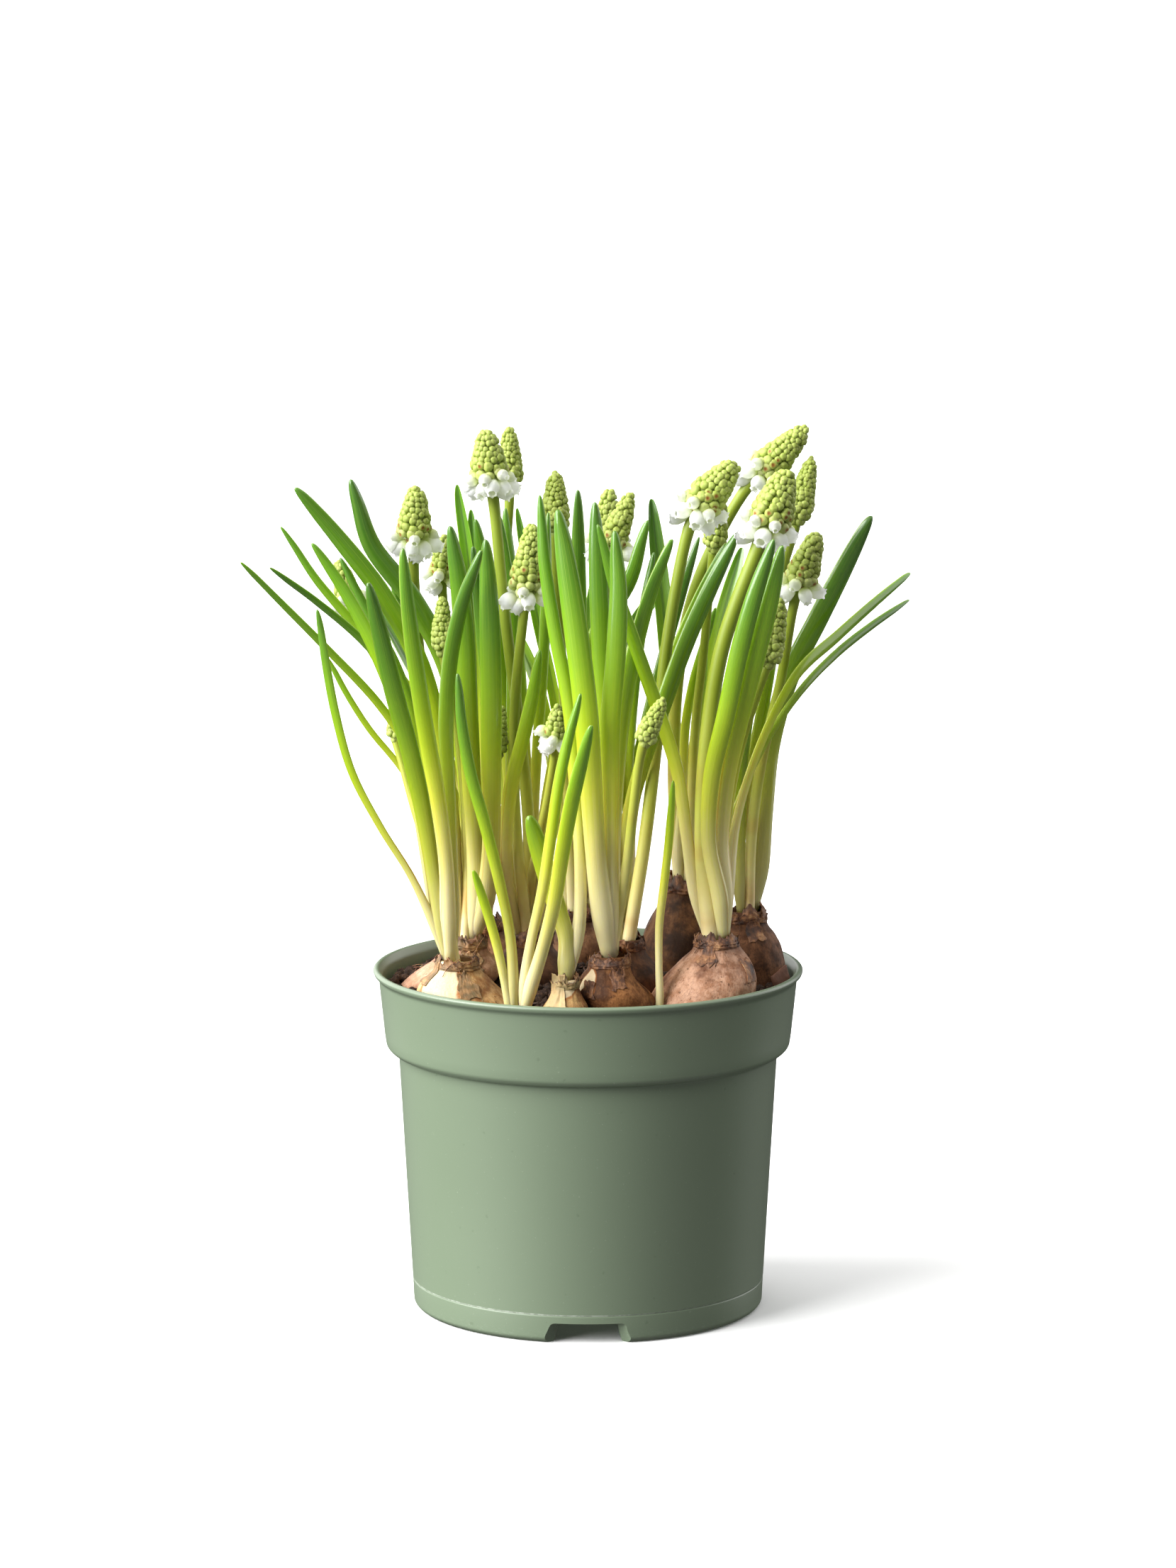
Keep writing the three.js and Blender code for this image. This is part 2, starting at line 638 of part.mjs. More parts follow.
// Corners round a blade's section, as shares of its half width and of its thickness. The channel is on
// the side away from the blade's back, and a narrow blade has a keel for its back.
const BROAD_SECTION = [
  [-1, -0.5],
  [-0.5, 0.45],
  [0.5, 0.45],
  [1, -0.5],
  [0, -0.12],
];
const NARROW_SECTION = [
  [-1, -0.4],
  [0, 0.5],
  [1, -0.4],
  [0, -0.3],
];
const NARROW = 5.7;

function leafSolid(leaf) {
  const frames = framesAlong(leaf.points, leaf.turn);
  const rings = leaf.points.slice(0, -1).map((p, k) => {
    const half = leaf.halfSide[k];
    const thick = 2 * leaf.halfBack[k];
    const corners = leaf.width < NARROW ? NARROW_SECTION : BROAD_SECTION;
    const { side, back } = frames[k];
    return corners.map(([across, out]) =>
      p.clone().addScaledVector(side, across * half).addScaledVector(back, out * thick),
    );
  });
  rings.push([leaf.points.at(-1)]);
  return solidOf(skin(rings));
}

// The shape of a bud cone: its radius as a share of the widest, from its foot to its tip.
function coneShape(share) {
  const swell = THREE.MathUtils.smoothstep(share, -0.12, 0.22);
  const taper = 1 - 0.5 * share ** 1.3;
  const tip = Math.sqrt(Math.max(0, 1 - Math.max(0, (share - 0.86) / 0.14) ** 2));
  return swell * taper * tip;
}

// A point and frame anywhere along the upper end of a spike, share 0 at the foot of the cone.
function coneFrames(spike) {
  const foot = STEPS - 3;
  const axis = new THREE.CatmullRomCurve3(spike.points.slice(foot), false, "centripetal");
  return (share) => {
    const point = axis.getPointAt(THREE.MathUtils.clamp(share, 0, 1));
    const along = axis.getTangentAt(THREE.MathUtils.clamp(share, 0, 1));
    const side = new THREE.Vector3(1, 0, 0).addScaledVector(along, -along.x).normalize();
    const back = new THREE.Vector3().crossVectors(side, along);
    return { point, along, side, back };
  };
}

function ringPoint(frame, radius, angle) {
  return frame.point
    .clone()
    .addScaledVector(frame.side, radius * Math.cos(angle))
    .addScaledVector(frame.back, radius * Math.sin(angle));
}

// A stalk that ends in a cone studded with buds: the buds are the raised middles of a lattice of
// lozenges, each row half a lozenge round from the last.
function spikeSolid(spike) {
  const around = 5 + (spike.bud > 3.3) + (spike.bud > 4.3);
  const rows = Math.max(5, Math.round((spike.cone / spike.bud) * (spike.bud > 4 ? 1.75 : 1.25)));
  const at = coneFrames(spike);
  const vertices = [];
  const faces = [];
  const add = (p) => vertices.push(p) - 1;
  const ringAt = (frame, radius, row) =>
    Array.from({ length: around }, (_, i) => add(ringPoint(frame, radius, lozengeAngle(i, row, around))));

  const stalk = framesAlong(spike.points, 0)
    .slice(0, STEPS - 3)
    .map(({ side, back }, k) => ringAt({ point: spike.points[k], side, back }, spike.stalk, 0));
  const lattice = Array.from({ length: rows + 1 }, (_, row) => {
    const share = row / (rows + 0.6);
    return ringAt(at(share), Math.max(spike.stalk * 0.6, spike.bud * 0.84 * coneShape(share)), row);
  });
  closeRing(faces, stalk[0][0], around, true);
  [...stalk, lattice[0]].forEach((ring, r, all) => {
    if (r === 0) return;
    for (let i = 0; i < around; i++) {
      const j = (i + 1) % around;
      faces.push(all[r - 1][i], all[r - 1][j], ring[j], all[r - 1][i], ring[j], ring[i]);
    }
  });

  const shift = (row, i) => (row % 2 ? i + 1 : i) % around; // lattice index above or below a lozenge
  for (let row = 1; row < rows; row++) {
    const share = row / (rows + 0.6);
    for (let i = 0; i < around; i++) {
      const [west, east] = [lattice[row][i], lattice[row][(i + 1) % around]];
      const [south, north] = [lattice[row - 1][shift(row, i)], lattice[row + 1][shift(row, i)]];
      const angle = lozengeAngle(i + 0.5, row, around);
      const peak = add(ringPoint(at(share - 0.25 / rows), spike.bud * coneShape(share) * 1.12, angle));
      faces.push(west, south, peak, south, east, peak, east, north, peak, north, west, peak);
    }
  }
  const tip = add(at(1).point);
  for (let i = 0; i < around; i++) {
    const j = (i + 1) % around;
    faces.push(lattice[0][i], lattice[0][j], lattice[1][i]);
    faces.push(lattice[rows][i], lattice[rows - 1][shift(rows, i)], lattice[rows][j]);
    faces.push(lattice[rows][i], lattice[rows][j], tip);
  }
  return solidOf(meshOf(vertices, faces));
}

function lozengeAngle(i, row, around) {
  return (2 * Math.PI * (i + (row % 2 ? 0.5 : 0))) / around;
}

// The room that a stalk takes between its leaves, one clearance larger than the stalk.
function spikeRoom(spike) {
  const [foot, next] = spike.points;
  const start = foot.clone().addScaledVector(next.clone().sub(foot).normalize(), -CLEARANCE);
  const apart = spike.points.findIndex((p) => p.z > foot.z + TUFT_HEIGHT + 4);
  const points = [start, ...spike.points.slice(1, apart + 1)];
  return solidOf(tubeAlong(points, points.map(() => spike.stalk + CLEARANCE * 1.3), 6));
}

// Open bells hang in whorls under the cone. They spring from one sleeve round the stalk.
function bellsSolid(spike) {
  const at = coneFrames(spike);
  const foot = at(0);
  const down = foot.along.clone().negate();
  const size = THREE.MathUtils.mapLinear(spike.bud, 3, 5.8, 0.8, 1);
  const pass = spike.stalk + CLEARANCE;
  const sleeveLow = foot.point.clone().addScaledVector(down, WHORL_DROP * size + 1.8);
  const sleeveHigh = foot.point.clone().addScaledVector(down, 1.5 * CLEARANCE);
  const sleeve = solidOf(tubeAlong([sleeveLow, sleeveHigh], [pass + 1.5, pass + 1.8], 6));
  const ring = sleeve.subtract(solidOf(stalkPass(spike)));
  const flare = 0.3 + 0.05 * spike.bells;
  const bells = Array.from({ length: spike.bells }, (_, i) => {
    const lower = i % 2;
    const angle = (2 * Math.PI * (i + 0.25)) / spike.bells;
    const out = ringPoint(foot, 1, angle).sub(foot.point);
    const way = out.clone().multiplyScalar(flare - 0.2 * lower).addScaledVector(down, 0.8).normalize();
    const drop = 1.4 + WHORL_DROP * size * lower;
    const top = foot.point.clone().addScaledVector(down, drop).addScaledVector(out, pass + 0.75);
    const stations = [0, BELL_LENGTH * size].map((s) => top.clone().addScaledVector(way, s));
    return solidOf(tubeAlong(stations, [0.4, BELL_RADIUS * size], 5));
  });
  return mainBody(unionOf([ring, ...bells]));
}

// The stalk from below its bells to the foot of the cone, one clearance larger.
function stalkPass(spike) {
  const foot = STEPS - 3;
  const low = spike.points[foot - 2];
  const mid = spike.points[foot - 1];
  const high = spike.points[foot];
  const above = spike.points[foot].clone().lerp(spike.points[foot + 1], 0.1);
  const radius = spike.stalk * 1.1 + CLEARANCE;
  return tubeAlong([low, mid, high, above], [radius, radius, radius, radius], 6);
}

// The leaves of one plant, fused in the sheath that stands in the bulb's neck, with plain holes for
// the stalks.
function tuftSolid(plant, leaves, spikes) {
  const neck = asVector(plant.neck);
  const foot = neck.clone().setZ(neck.z - SOCKET_DEPTH + CLEARANCE);
  const lip = neck.clone().setZ(neck.z + 1);
  const top = neck.clone().setZ(neck.z + SHEATH_RISE);
  const radius = sheathRadius(plant);
  const sheath = solidOf(tubeAlong([foot, lip, top], [radius, radius, radius * 0.75], 8));
  const tuft = unionOf([sheath, ...leaves.map(leafSolid)]);
  const whole = spikes.length ? tuft.subtract(unionOf(spikes.map((s) => spikeRoom(s)))) : tuft;
  return mainBody(whole).simplify(FINENESS);
}

// ---------------------------------------------------------------- bulbs

// A bulb's outline as [share of its belly radius, share of its height]; its neck has a radius of its own.
const BULB_BELLY = [
  [0.5, -0.86],
  [0.96, -0.36],
  [0.98, 0.28],
  [0.76, 0.7],
];

function bulbProfile(plant, grow) {
  const [collar, collarHeight] = plant.collar;
  const shoulder = plant.neck[2] - collarHeight;
  const belly = BULB_BELLY.map(([r, h]) => [
    Math.max(plant.radius * r, h > 0 ? collar : 0) + grow,
    plant.widest + (h > 0 ? h * (shoulder - plant.widest) : h * plant.radius) - (h < -0.8 ? grow : 0),
  ]);
  const shoulderRadius = collar + 0.08 * plant.radius;
  const neck = [
    [shoulderRadius + grow, shoulder],
    [collar + grow, plant.neck[2] + grow],
  ];
  return [[0, belly[0][1]], ...belly, ...neck];
}

// The axis of a bulb leans from its belly to its neck.
function leanShare(plant, z) {
  return THREE.MathUtils.smoothstep(z, plant.widest - 4, plant.neck[2] - SOCKET_DEPTH);
}

function leanBulb(geometry, plant) {
  const position = geometry.getAttribute("position");
  for (let i = 0; i < position.count; i++) {
    const share = leanShare(plant, position.getZ(i));
    position.setX(i, position.getX(i) + THREE.MathUtils.lerp(plant.at[0], plant.neck[0], share));
    position.setY(i, position.getY(i) + THREE.MathUtils.lerp(plant.at[1], plant.neck[1], share));
  }
  return geometry;
}

function bulbSolid(plant) {
  const [, , top] = plant.neck;
  const socket = plant.collar[0] - COLLAR_WALL;
  const profile = bulbProfile(plant, 0);
  profile.push([socket, top], [socket, top - SOCKET_DEPTH], [0, top - SOCKET_DEPTH]);
  return solidOf(leanBulb(turnedSolid(profile, BULB_SIDES), plant));
}

function bulbRoom(plant) {
  const profile = bulbProfile(plant, 1.1 * CLEARANCE);
  profile.push([0, profile.at(-1)[1]]);
  return solidOf(leanBulb(turnedSolid(profile, BULB_SIDES), plant));
}

// The bulb's middle and radius at a height, or nothing above its neck.
function bulbAt(plant, z) {
  const outline = bulbProfile(plant, 0);
  const above = outline.findIndex(([, height]) => height > z);
  if (above < 1) return null;
  const [[r0, z0], [r1, z1]] = [outline[above - 1], outline[above]];
  const share = leanShare(plant, z);
  return {
    x: THREE.MathUtils.lerp(plant.at[0], plant.neck[0], share),
    y: THREE.MathUtils.lerp(plant.at[1], plant.neck[1], share),
    radius: THREE.MathUtils.mapLinear(z, z0, z1, r0, r1),
  };
}

// ---------------------------------------------------------------- pot and soil

// Outside of the pot from its foot to its lip, as [radius, height].
const POT_OUTSIDE = [
  [47.4, 0],
  [48.9, 1.2],
  [52.9, 72.6],
  [55.1, 73.2],
  [56.3, 74.4],
  [56.7, 77],
  [58.4, 93.4],
  [59.7, 94.4],
  [RIM_RADIUS, 95.4],
  [59.4, POT_HEIGHT],
];

// Inside of the pot from its lip down to the floor.
const POT_INSIDE = [
  [58.4, POT_HEIGHT],
  [57.2, 94],
  [56.7 - POT_WALL, 77],
  [52.9 - POT_WALL, 74],
  [48.9 - POT_WALL, FLOOR_TOP],
];

function potSolid() {
  const underside = [
    [0, FLOOR_UNDERSIDE],
    [46.4, FLOOR_UNDERSIDE],
    [45.4, 0],
  ];
  const profile = [...underside, ...POT_OUTSIDE, ...POT_INSIDE, [0, FLOOR_TOP]];
  const shell = solidOf(turnedSolid(profile, POT_SIDES));
  const cuts = [];
  for (let i = 0; i < NOTCHES; i++) cuts.push(notchCut((2 * Math.PI * i) / NOTCHES - Math.PI / 2));
  for (let i = 0; i < DRAIN_HOLES; i++) {
    const angle = (2 * Math.PI * (i + 0.5)) / DRAIN_HOLES;
    const hole = new THREE.CylinderGeometry(DRAIN_RADIUS, DRAIN_RADIUS, 4, 8).rotateX(Math.PI / 2);
    const [x, y] = [DRAIN_CIRCLE * Math.cos(angle), DRAIN_CIRCLE * Math.sin(angle)];
    cuts.push(solidOf(hole.translate(x, y, FLOOR_UNDERSIDE + POT_WALL / 2)));
  }
  return shell.subtract(unionOf(cuts));
}

// A notch in the foot lets water out: wider at the floor than at its top, and wider outside than inside.
function notchCut(angle) {
  const ring = (x, [top, floor]) =>
    [
      [x, -floor / 2, 0],
      [x, floor / 2, 0],
      [x, top / 2, NOTCH_HEIGHT],
      [x, -top / 2, NOTCH_HEIGHT],
    ].map(asVector);
  const cut = skin([ring(NOTCH_START, NOTCH_INNER), ring(NOTCH_END, NOTCH_OUTER)]);
  return solidOf(cut.rotateZ(angle));
}

function soilSolid(shoot) {
  const inside = POT_INSIDE.slice(1).reverse();
  const wall = inside.map(([r, z]) => [r - 1.6 * CLEARANCE, z + 1.4 * CLEARANCE]).slice(0, -1);
  const [collarRadius, collarHeight] = inside.at(-2);
  const [lipRadius, lipHeight] = inside.at(-1);
  const edge = THREE.MathUtils.mapLinear(SOIL_LEVEL, collarHeight, lipHeight, collarRadius, lipRadius);
  const top = [
    [edge - 1.6 * CLEARANCE, SOIL_LEVEL],
    [0, SOIL_LEVEL],
  ];
  const profile = [[0, FLOOR_TOP + CLEARANCE], ...wall, ...top];
  const [root, next] = shoot.points;
  const below = root.clone().lerp(next, -0.05);
  const rooms = [...PLANTS.map(bulbRoom), solidOf(tubeAlong([below, next], [1.8, 1.8], 6))];
  return mainBody(solidOf(turnedSolid(profile, POT_SIDES)).subtract(unionOf(rooms)));
}

// ---------------------------------------------------------------- assembly

const hyacinths = new THREE.Group();

function place(name, solid, material) {
  const mesh = new THREE.Mesh(geometryOf(solid), material);
  mesh.name = name;
  hyacinths.add(mesh);
}

const plants = PLANTS.map((plant) => ({ plant, strands: strandsOf(plant) }));
const shoot = makeLeaf("shoot", SHOOT.leaf, asVector(SHOOT.root));
settle([...plants.flatMap(({ strands }) => strands), shoot]);

place("pot", potSolid(), finish(COLOURS.pot, 0.45));
place("soil", soilSolid(shoot), finish(COLOURS.soil, 0.95));
for (const { plant, strands } of plants) {
  const leaves = strands.filter((s) => s.kind === "leaf");
  const spikes = strands.filter((s) => s.kind === "spike");
  place(`bulb_${plant.name}`, bulbSolid(plant), finish(COLOURS.bulb, 0.7));
  place(`leaves_${plant.name}`, tuftSolid(plant, leaves, spikes), finish(COLOURS.leaf, 0.5));
  spikes.forEach((spike, i) => {
    place(`spike_${plant.name}_${i + 1}`, spikeSolid(spike), finish(COLOURS.stalk, 0.5));
    if (spike.bells) place(`bells_${plant.name}_${i + 1}`, bellsSolid(spike), finish(COLOURS.bell, 0.5));
  });
}
place("shoot", leafSolid(shoot), finish(COLOURS.leaf, 0.5));

export default hyacinths;
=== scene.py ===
# %% [markdown]
# # A pot of white grape hyacinths
# Twelve bulbs sit high in a moulded plant pot, and each sends up a tuft of channelled leaves and up
# to three flower spikes. The solids that carry weight and size come in as a fixed frame. This lesson
# dresses them: every soft or living form is made again as a fine mesh that follows the same lines,
# so nothing leaves the place that its solid holds. Lengths below are millimetres until the moment a
# mesh is made, because that is how a grower and a potter would speak of them.

# %% Load the frame
import math

import bpy
import numpy as np
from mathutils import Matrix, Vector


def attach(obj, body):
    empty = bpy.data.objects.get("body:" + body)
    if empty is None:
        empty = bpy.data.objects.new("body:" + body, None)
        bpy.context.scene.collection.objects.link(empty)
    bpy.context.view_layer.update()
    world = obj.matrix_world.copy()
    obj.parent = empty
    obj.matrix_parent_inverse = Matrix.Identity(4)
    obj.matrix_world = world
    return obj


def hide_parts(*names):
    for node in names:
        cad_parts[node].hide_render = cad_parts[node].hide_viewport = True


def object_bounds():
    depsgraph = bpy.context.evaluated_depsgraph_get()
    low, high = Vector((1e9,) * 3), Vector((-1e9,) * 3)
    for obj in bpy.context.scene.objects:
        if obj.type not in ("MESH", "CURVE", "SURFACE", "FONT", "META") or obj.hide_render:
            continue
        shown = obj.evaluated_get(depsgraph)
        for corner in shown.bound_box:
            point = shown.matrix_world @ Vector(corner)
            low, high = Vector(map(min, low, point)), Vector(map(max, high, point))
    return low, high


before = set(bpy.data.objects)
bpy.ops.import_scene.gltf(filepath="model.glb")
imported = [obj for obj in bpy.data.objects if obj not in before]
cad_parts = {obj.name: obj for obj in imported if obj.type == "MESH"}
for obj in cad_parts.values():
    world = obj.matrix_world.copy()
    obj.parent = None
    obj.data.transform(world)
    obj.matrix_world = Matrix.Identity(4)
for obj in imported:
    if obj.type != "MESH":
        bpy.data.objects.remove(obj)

CAD_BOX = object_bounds()
MM = 0.001
print("frame:", len(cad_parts), "solids, box", [[round(c, 4) for c in p] for p in CAD_BOX])

# %% [markdown]
# ## Ways to make a surface
# Leaves, stalks, buds, bells and bulbs are all rings of points joined by four-sided faces, and a fan
# closes each end. Blender could loft curves for this, but plain arrays are quick and let each point
# carry its own values, such as how far along the leaf it lies. A finish reads those values later, so
# colour follows growth.

# %% Faces between rings
def ring_faces(rings, around):
    """Faces between rings that each hold the same number of points and close on themselves."""
    r, a = np.meshgrid(np.arange(rings - 1), np.arange(around), indexing="ij")
    b = (a + 1) % around
    quads = np.stack([r * around + a, r * around + b, (r + 1) * around + b, (r + 1) * around + a], -1)
    return quads.reshape(-1, 4)


def cap_faces(centre, start, around, outward):
    """A fan that closes a ring at a single point."""
    a = np.arange(around)
    b = (a + 1) % around
    rim = (a, b) if outward else (b, a)
    return np.stack([start + rim[0], start + rim[1], np.full(around, centre)], -1)


print("two rings of 8 points are joined by", len(ring_faces(2, 8)), "faces")

# %% [markdown]
# Faces name their points by number, so each new form's numbers start where the last form's ended.
# Keeping that count in one place lets a tuft of leaves or a head of buds be a single mesh.

# %% Gather points, faces and values
class Surface:
    """Points in millimetres, their faces, and the values each point carries, before they are a mesh."""

    def __init__(self):
        self.points, self.quads, self.triangles, self.values, self.count = [], [], [], {}, 0

    def add(self, points, quads, triangles=(), **values):
        points = np.asarray(points, float).reshape(-1, 3)
        self.quads.append(np.asarray(quads, int).reshape(-1, 4) + self.count)
        self.triangles.append(np.asarray(triangles, int).reshape(-1, 3) + self.count)
        self.points.append(points)
        for name, value in values.items():
            self.values.setdefault(name, []).append(np.broadcast_to(np.ravel(value), len(points)))
        self.count += len(points)

    def add_rings(self, rings, end, start=None, **values):
        """A skin over rings, closed by a fan at its end and, if a start is given, at its start too.

        A value is one number, or a grid over the rings followed by the numbers of the closing points.
        """
        count, around = rings.shape[:2]
        points = [rings.reshape(-1, 3), np.reshape(end, (1, 3))]
        fans = [cap_faces(count * around, (count - 1) * around, around, True)]
        if start is not None:
            points.append(np.reshape(start, (1, 3)))
            fans.append(cap_faces(count * around + 1, 0, around, False))
        spread = {
            name: np.append(np.broadcast_to(v[0], (count, around)), v[1:]) if isinstance(v, tuple) else v
            for name, v in values.items()
        }
        self.add(np.vstack(points), ring_faces(count, around), np.vstack(fans), **spread)

    def hold(self, low, high):
        """A tip that would pass the box of the solids by a hair is held at it."""
        self.points = [np.clip(p, np.array(low) / MM, np.array(high) / MM) for p in self.points]

    def mesh(self, name):
        points = np.concatenate(self.points) * MM
        quads, triangles = np.concatenate(self.quads), np.concatenate(self.triangles)
        corners = np.concatenate([quads.ravel(), triangles.ravel()])
        starts = np.concatenate(
            [np.arange(len(quads)) * 4, len(quads) * 4 + np.arange(len(triangles)) * 3]
        )
        mesh = bpy.data.meshes.new(name)
        mesh.vertices.add(len(points))
        mesh.vertices.foreach_set("co", points.astype(np.float32).ravel())
        mesh.loops.add(len(corners))
        mesh.loops.foreach_set("vertex_index", corners.astype(np.int32))
        mesh.polygons.add(len(starts))
        mesh.polygons.foreach_set("loop_start", starts.astype(np.int32))
        for value_name, parts in self.values.items():
            layer = mesh.attributes.new(value_name, "FLOAT", "POINT")
            layer.data.foreach_set("value", np.concatenate(parts).astype(np.float32))
        mesh.update(calc_edges=True)
        mesh.validate()
        mesh.shade_smooth()
        return mesh


print("surfaces are gathered as arrays, then become meshes in metres")

# %% [markdown]
# A mesh is only seen once an object in the scene shows it. Each piece of the plant also says two
# things: what it rides on and which solids it stands for.

# %% Put pieces in the scene
def placed(name, data):
    """A new object in the scene that shows a mesh, shines a light or is the camera."""
    thing = bpy.data.objects.new(name, data)
    bpy.context.scene.collection.objects.link(thing)
    return thing


def dress(thing, finish, nodes):
    thing.data.materials.append(finish.material)
    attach(thing, "root")
    if nodes:
        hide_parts(*nodes)


def piece(name, surface, finish, slot, *nodes):
    """One piece of the dressed object: it rides the pot's body and stands for the solids it covers."""
    surface.hold(*CAD_BOX)
    thing = placed(name, surface.mesh(name))
    dress(thing, finish, nodes)
    return thing


# %% [markdown]
# Living surfaces are never quite regular. A smooth noise with no memory of its own gives the same
# lumps each run, because every lattice corner takes its height from its own whole-number place.

# %% Lumps
def corner_heights(cell):
    x, y, z = (cell[..., i].astype(np.int64) for i in range(3))
    n = (x * 73856093) ^ (y * 19349663) ^ (z * 83492791)
    n = ((n ^ (n >> 13)) * 1274126177) & 0xFFFFFF
    n = ((n ^ (n >> 11)) * 69069) & 0xFFFFFF
    return n / 0xFFFFFF * 2 - 1


def lumps(points, size, seed=0):
    """Smooth hills and hollows between -1 and 1, about one size apart."""
    place = np.asarray(points, float) / size + seed * 37.7
    cell = np.floor(place)
    part = place - cell
    part = part * part * (3 - 2 * part)
    total = 0
    for corner in np.ndindex(2, 2, 2):
        weight = np.prod(np.where(np.array(corner), part, 1 - part), axis=-1)
        total = total + weight * corner_heights(cell + np.array(corner))
    return total


def smoothstep(x, low, high):
    t = np.clip((np.asarray(x, float) - low) / (high - low), 0, 1)
    return t * t * (3 - 2 * t)


def lerp(a, b, t):
    return a + (b - a) * t


def unit(v):
    return v / np.maximum(np.linalg.norm(v, axis=-1, keepdims=True), 1e-12)


def circle(around):
    """Cosines and sines of even steps round a circle."""
    angle = np.linspace(0, 2 * np.pi, around, endpoint=False)
    return np.cos(angle), np.sin(angle)


print("lumps repeat exactly:", round(float(lumps([1.0, 2.0, 3.0], 4.0)), 6))

# %% [markdown]
# ## Ways to make a finish
# Every finish is one Principled shader. What varies over the surface, such as colour and relief, is
# worked out from the mesh's own values and from noise. Writing that maths as Python expressions keeps
# it readable: a wrapped socket adds its own Math node whenever it is added or multiplied.

# %% Sums of sockets
class Value:
    """A shader socket that can be used in sums."""

    def __init__(self, finish, socket):
        self.finish, self.socket = finish, socket

    def math(self, operation, *others):
        return self.finish.node("ShaderNodeMath", {"operation": operation}, dict(enumerate(others)))

    def __add__(self, other):
        return self.math("ADD", self, other)

    __radd__ = __add__

    def __sub__(self, other):
        return self.math("SUBTRACT", self, other)

    def __rsub__(self, other):
        return self.math("SUBTRACT", other, self)

    def __mul__(self, other):
        return self.math("MULTIPLY", self, other)

    __rmul__ = __mul__

    def __abs__(self):
        return self.math("ABSOLUTE", self)

    def step(self, low, high):
        """0 below low, 1 above high, smooth between."""
        settings = {"interpolation_type": "SMOOTHSTEP"}
        return self.finish.node("ShaderNodeMapRange", settings, {0: self, 1: low, 2: high})


def colour(red, green, blue):
    """A colour as a screen shows it, 0 to 255, turned into light."""
    share = np.array([red, green, blue]) / 255
    light = np.where(share <= 0.04045, share / 12.92, ((share + 0.055) / 1.055) ** 2.4)
    return (*light.tolist(), 1.0)


print("leaf green as light:", [round(c, 3) for c in colour(80, 140, 50)])

# %% [markdown]
# One method makes every node: it takes the node's kind, its settings, and what its sockets get. The
# short methods under it are only names for the few kinds of node that these finishes need.

# %% Finishes
class Finish:
    """A material with one Principled shader. Values that hold all over are set on its own sockets."""

    def __init__(self, name, **even):
        self.material = bpy.data.materials.new(name)
        self.material.use_nodes = True
        self.tree = self.material.node_tree
        self.shader = self.tree.nodes["Principled BSDF"]
        for socket, value in even.items():
            self.shader.inputs[socket.replace("_", " ")].default_value = value

    def node(self, kind, settings, inputs, output=0):
        made = self.tree.nodes.new(kind)
        for key, value in settings.items():
            if key == "stops":
                ramp = made.color_ramp.elements
                while len(ramp) < len(value):
                    ramp.new(0.5)
                for element, (place, shade) in zip(ramp, value):
                    element.position, element.color = place, shade
            else:
                setattr(made, key, value)
        for key, value in inputs.items():
            self.join(made.inputs[key], value)
        return Value(self, made.outputs[output])

    def join(self, socket, value):
        if isinstance(value, Value):
            self.tree.links.new(value.socket, socket)
        else:
            socket.default_value = value

    def feed(self, **varying):
        for socket, value in varying.items():
            self.join(self.shader.inputs[socket.replace("_", " ")], value)
        return self

    def point_value(self, name):
        return self.node("ShaderNodeAttribute", {"attribute_name": name}, {}, "Fac")

    def place(self):
        return self.node("ShaderNodeTexCoord", {}, {}, "Object")

    def vector(self, x, y, z):
        return self.node("ShaderNodeCombineXYZ", {}, {0: x, 1: y, 2: z})

    def noise(self, per_metre, detail=2.0, rough=0.5, vector=None):
        inputs = {"Scale": per_metre, "Detail": detail, "Roughness": rough}
        inputs["Vector"] = vector or self.place()
        return self.node("ShaderNodeTexNoise", {}, inputs, "Fac")

    def ramp(self, value, stops):
        stops = [(place, colour(*shade)) for place, shade in stops]
        return self.node("ShaderNodeValToRGB", {"stops": stops}, {0: value})

    def mix(self, share, low, high):
        low, high = (c if isinstance(c, Value) else colour(*c) for c in (low, high))
        settings = {"data_type": "RGBA", "clamp_factor": True}
        return self.node("ShaderNodeMix", settings, {0: share, 6: low, 7: high}, 2)

    def relief(self, height, depth, strength=1.0):
        """Height from 0 to 1 becomes relief of a real depth, in millimetres."""
        inputs = {"Height": height, "Distance": depth * MM, "Strength": strength}
        return self.node("ShaderNodeBump", {}, inputs)


print("a finish is one shader with sums of sockets behind what varies")

# %% [markdown]
# ## Camera
# The pot is seen from about a metre and a half away and a little above, through a long lens. A wide lens
# held close would make the sides of the pot lean together and the nearest leaves swell.

# %% Camera
camera_data = bpy.data.cameras.new("camera")
camera_data.sensor_fit = "VERTICAL"
camera_data.sensor_height = 36.0
camera_data.lens = 135.2
camera_data.clip_end = 200.0
camera = placed("camera", camera_data)
camera.location = (0.0, -1.614, 0.410)
camera.rotation_euler = (math.radians(90 - 9.24), 0.0, 0.0)
bpy.context.scene.camera = camera
print("camera at", tuple(camera.location), "lens", camera_data.lens)

# %% [markdown]
# ## Light and floor
# The pot stands on a white sweep under one very soft key from the left and a little in front. A broad
# sun is used for the key instead of a nearby panel, because its light doesn't fall off: the floor stays
# evenly white from edge to edge, and only the soft shadow at the foot is left. Two weak low suns from
# behind do what white walls do in a studio: they brighten the far edges of pot and leaves. A weak sun
# from below stands for the light that a white floor throws back up; the floor lets it through.

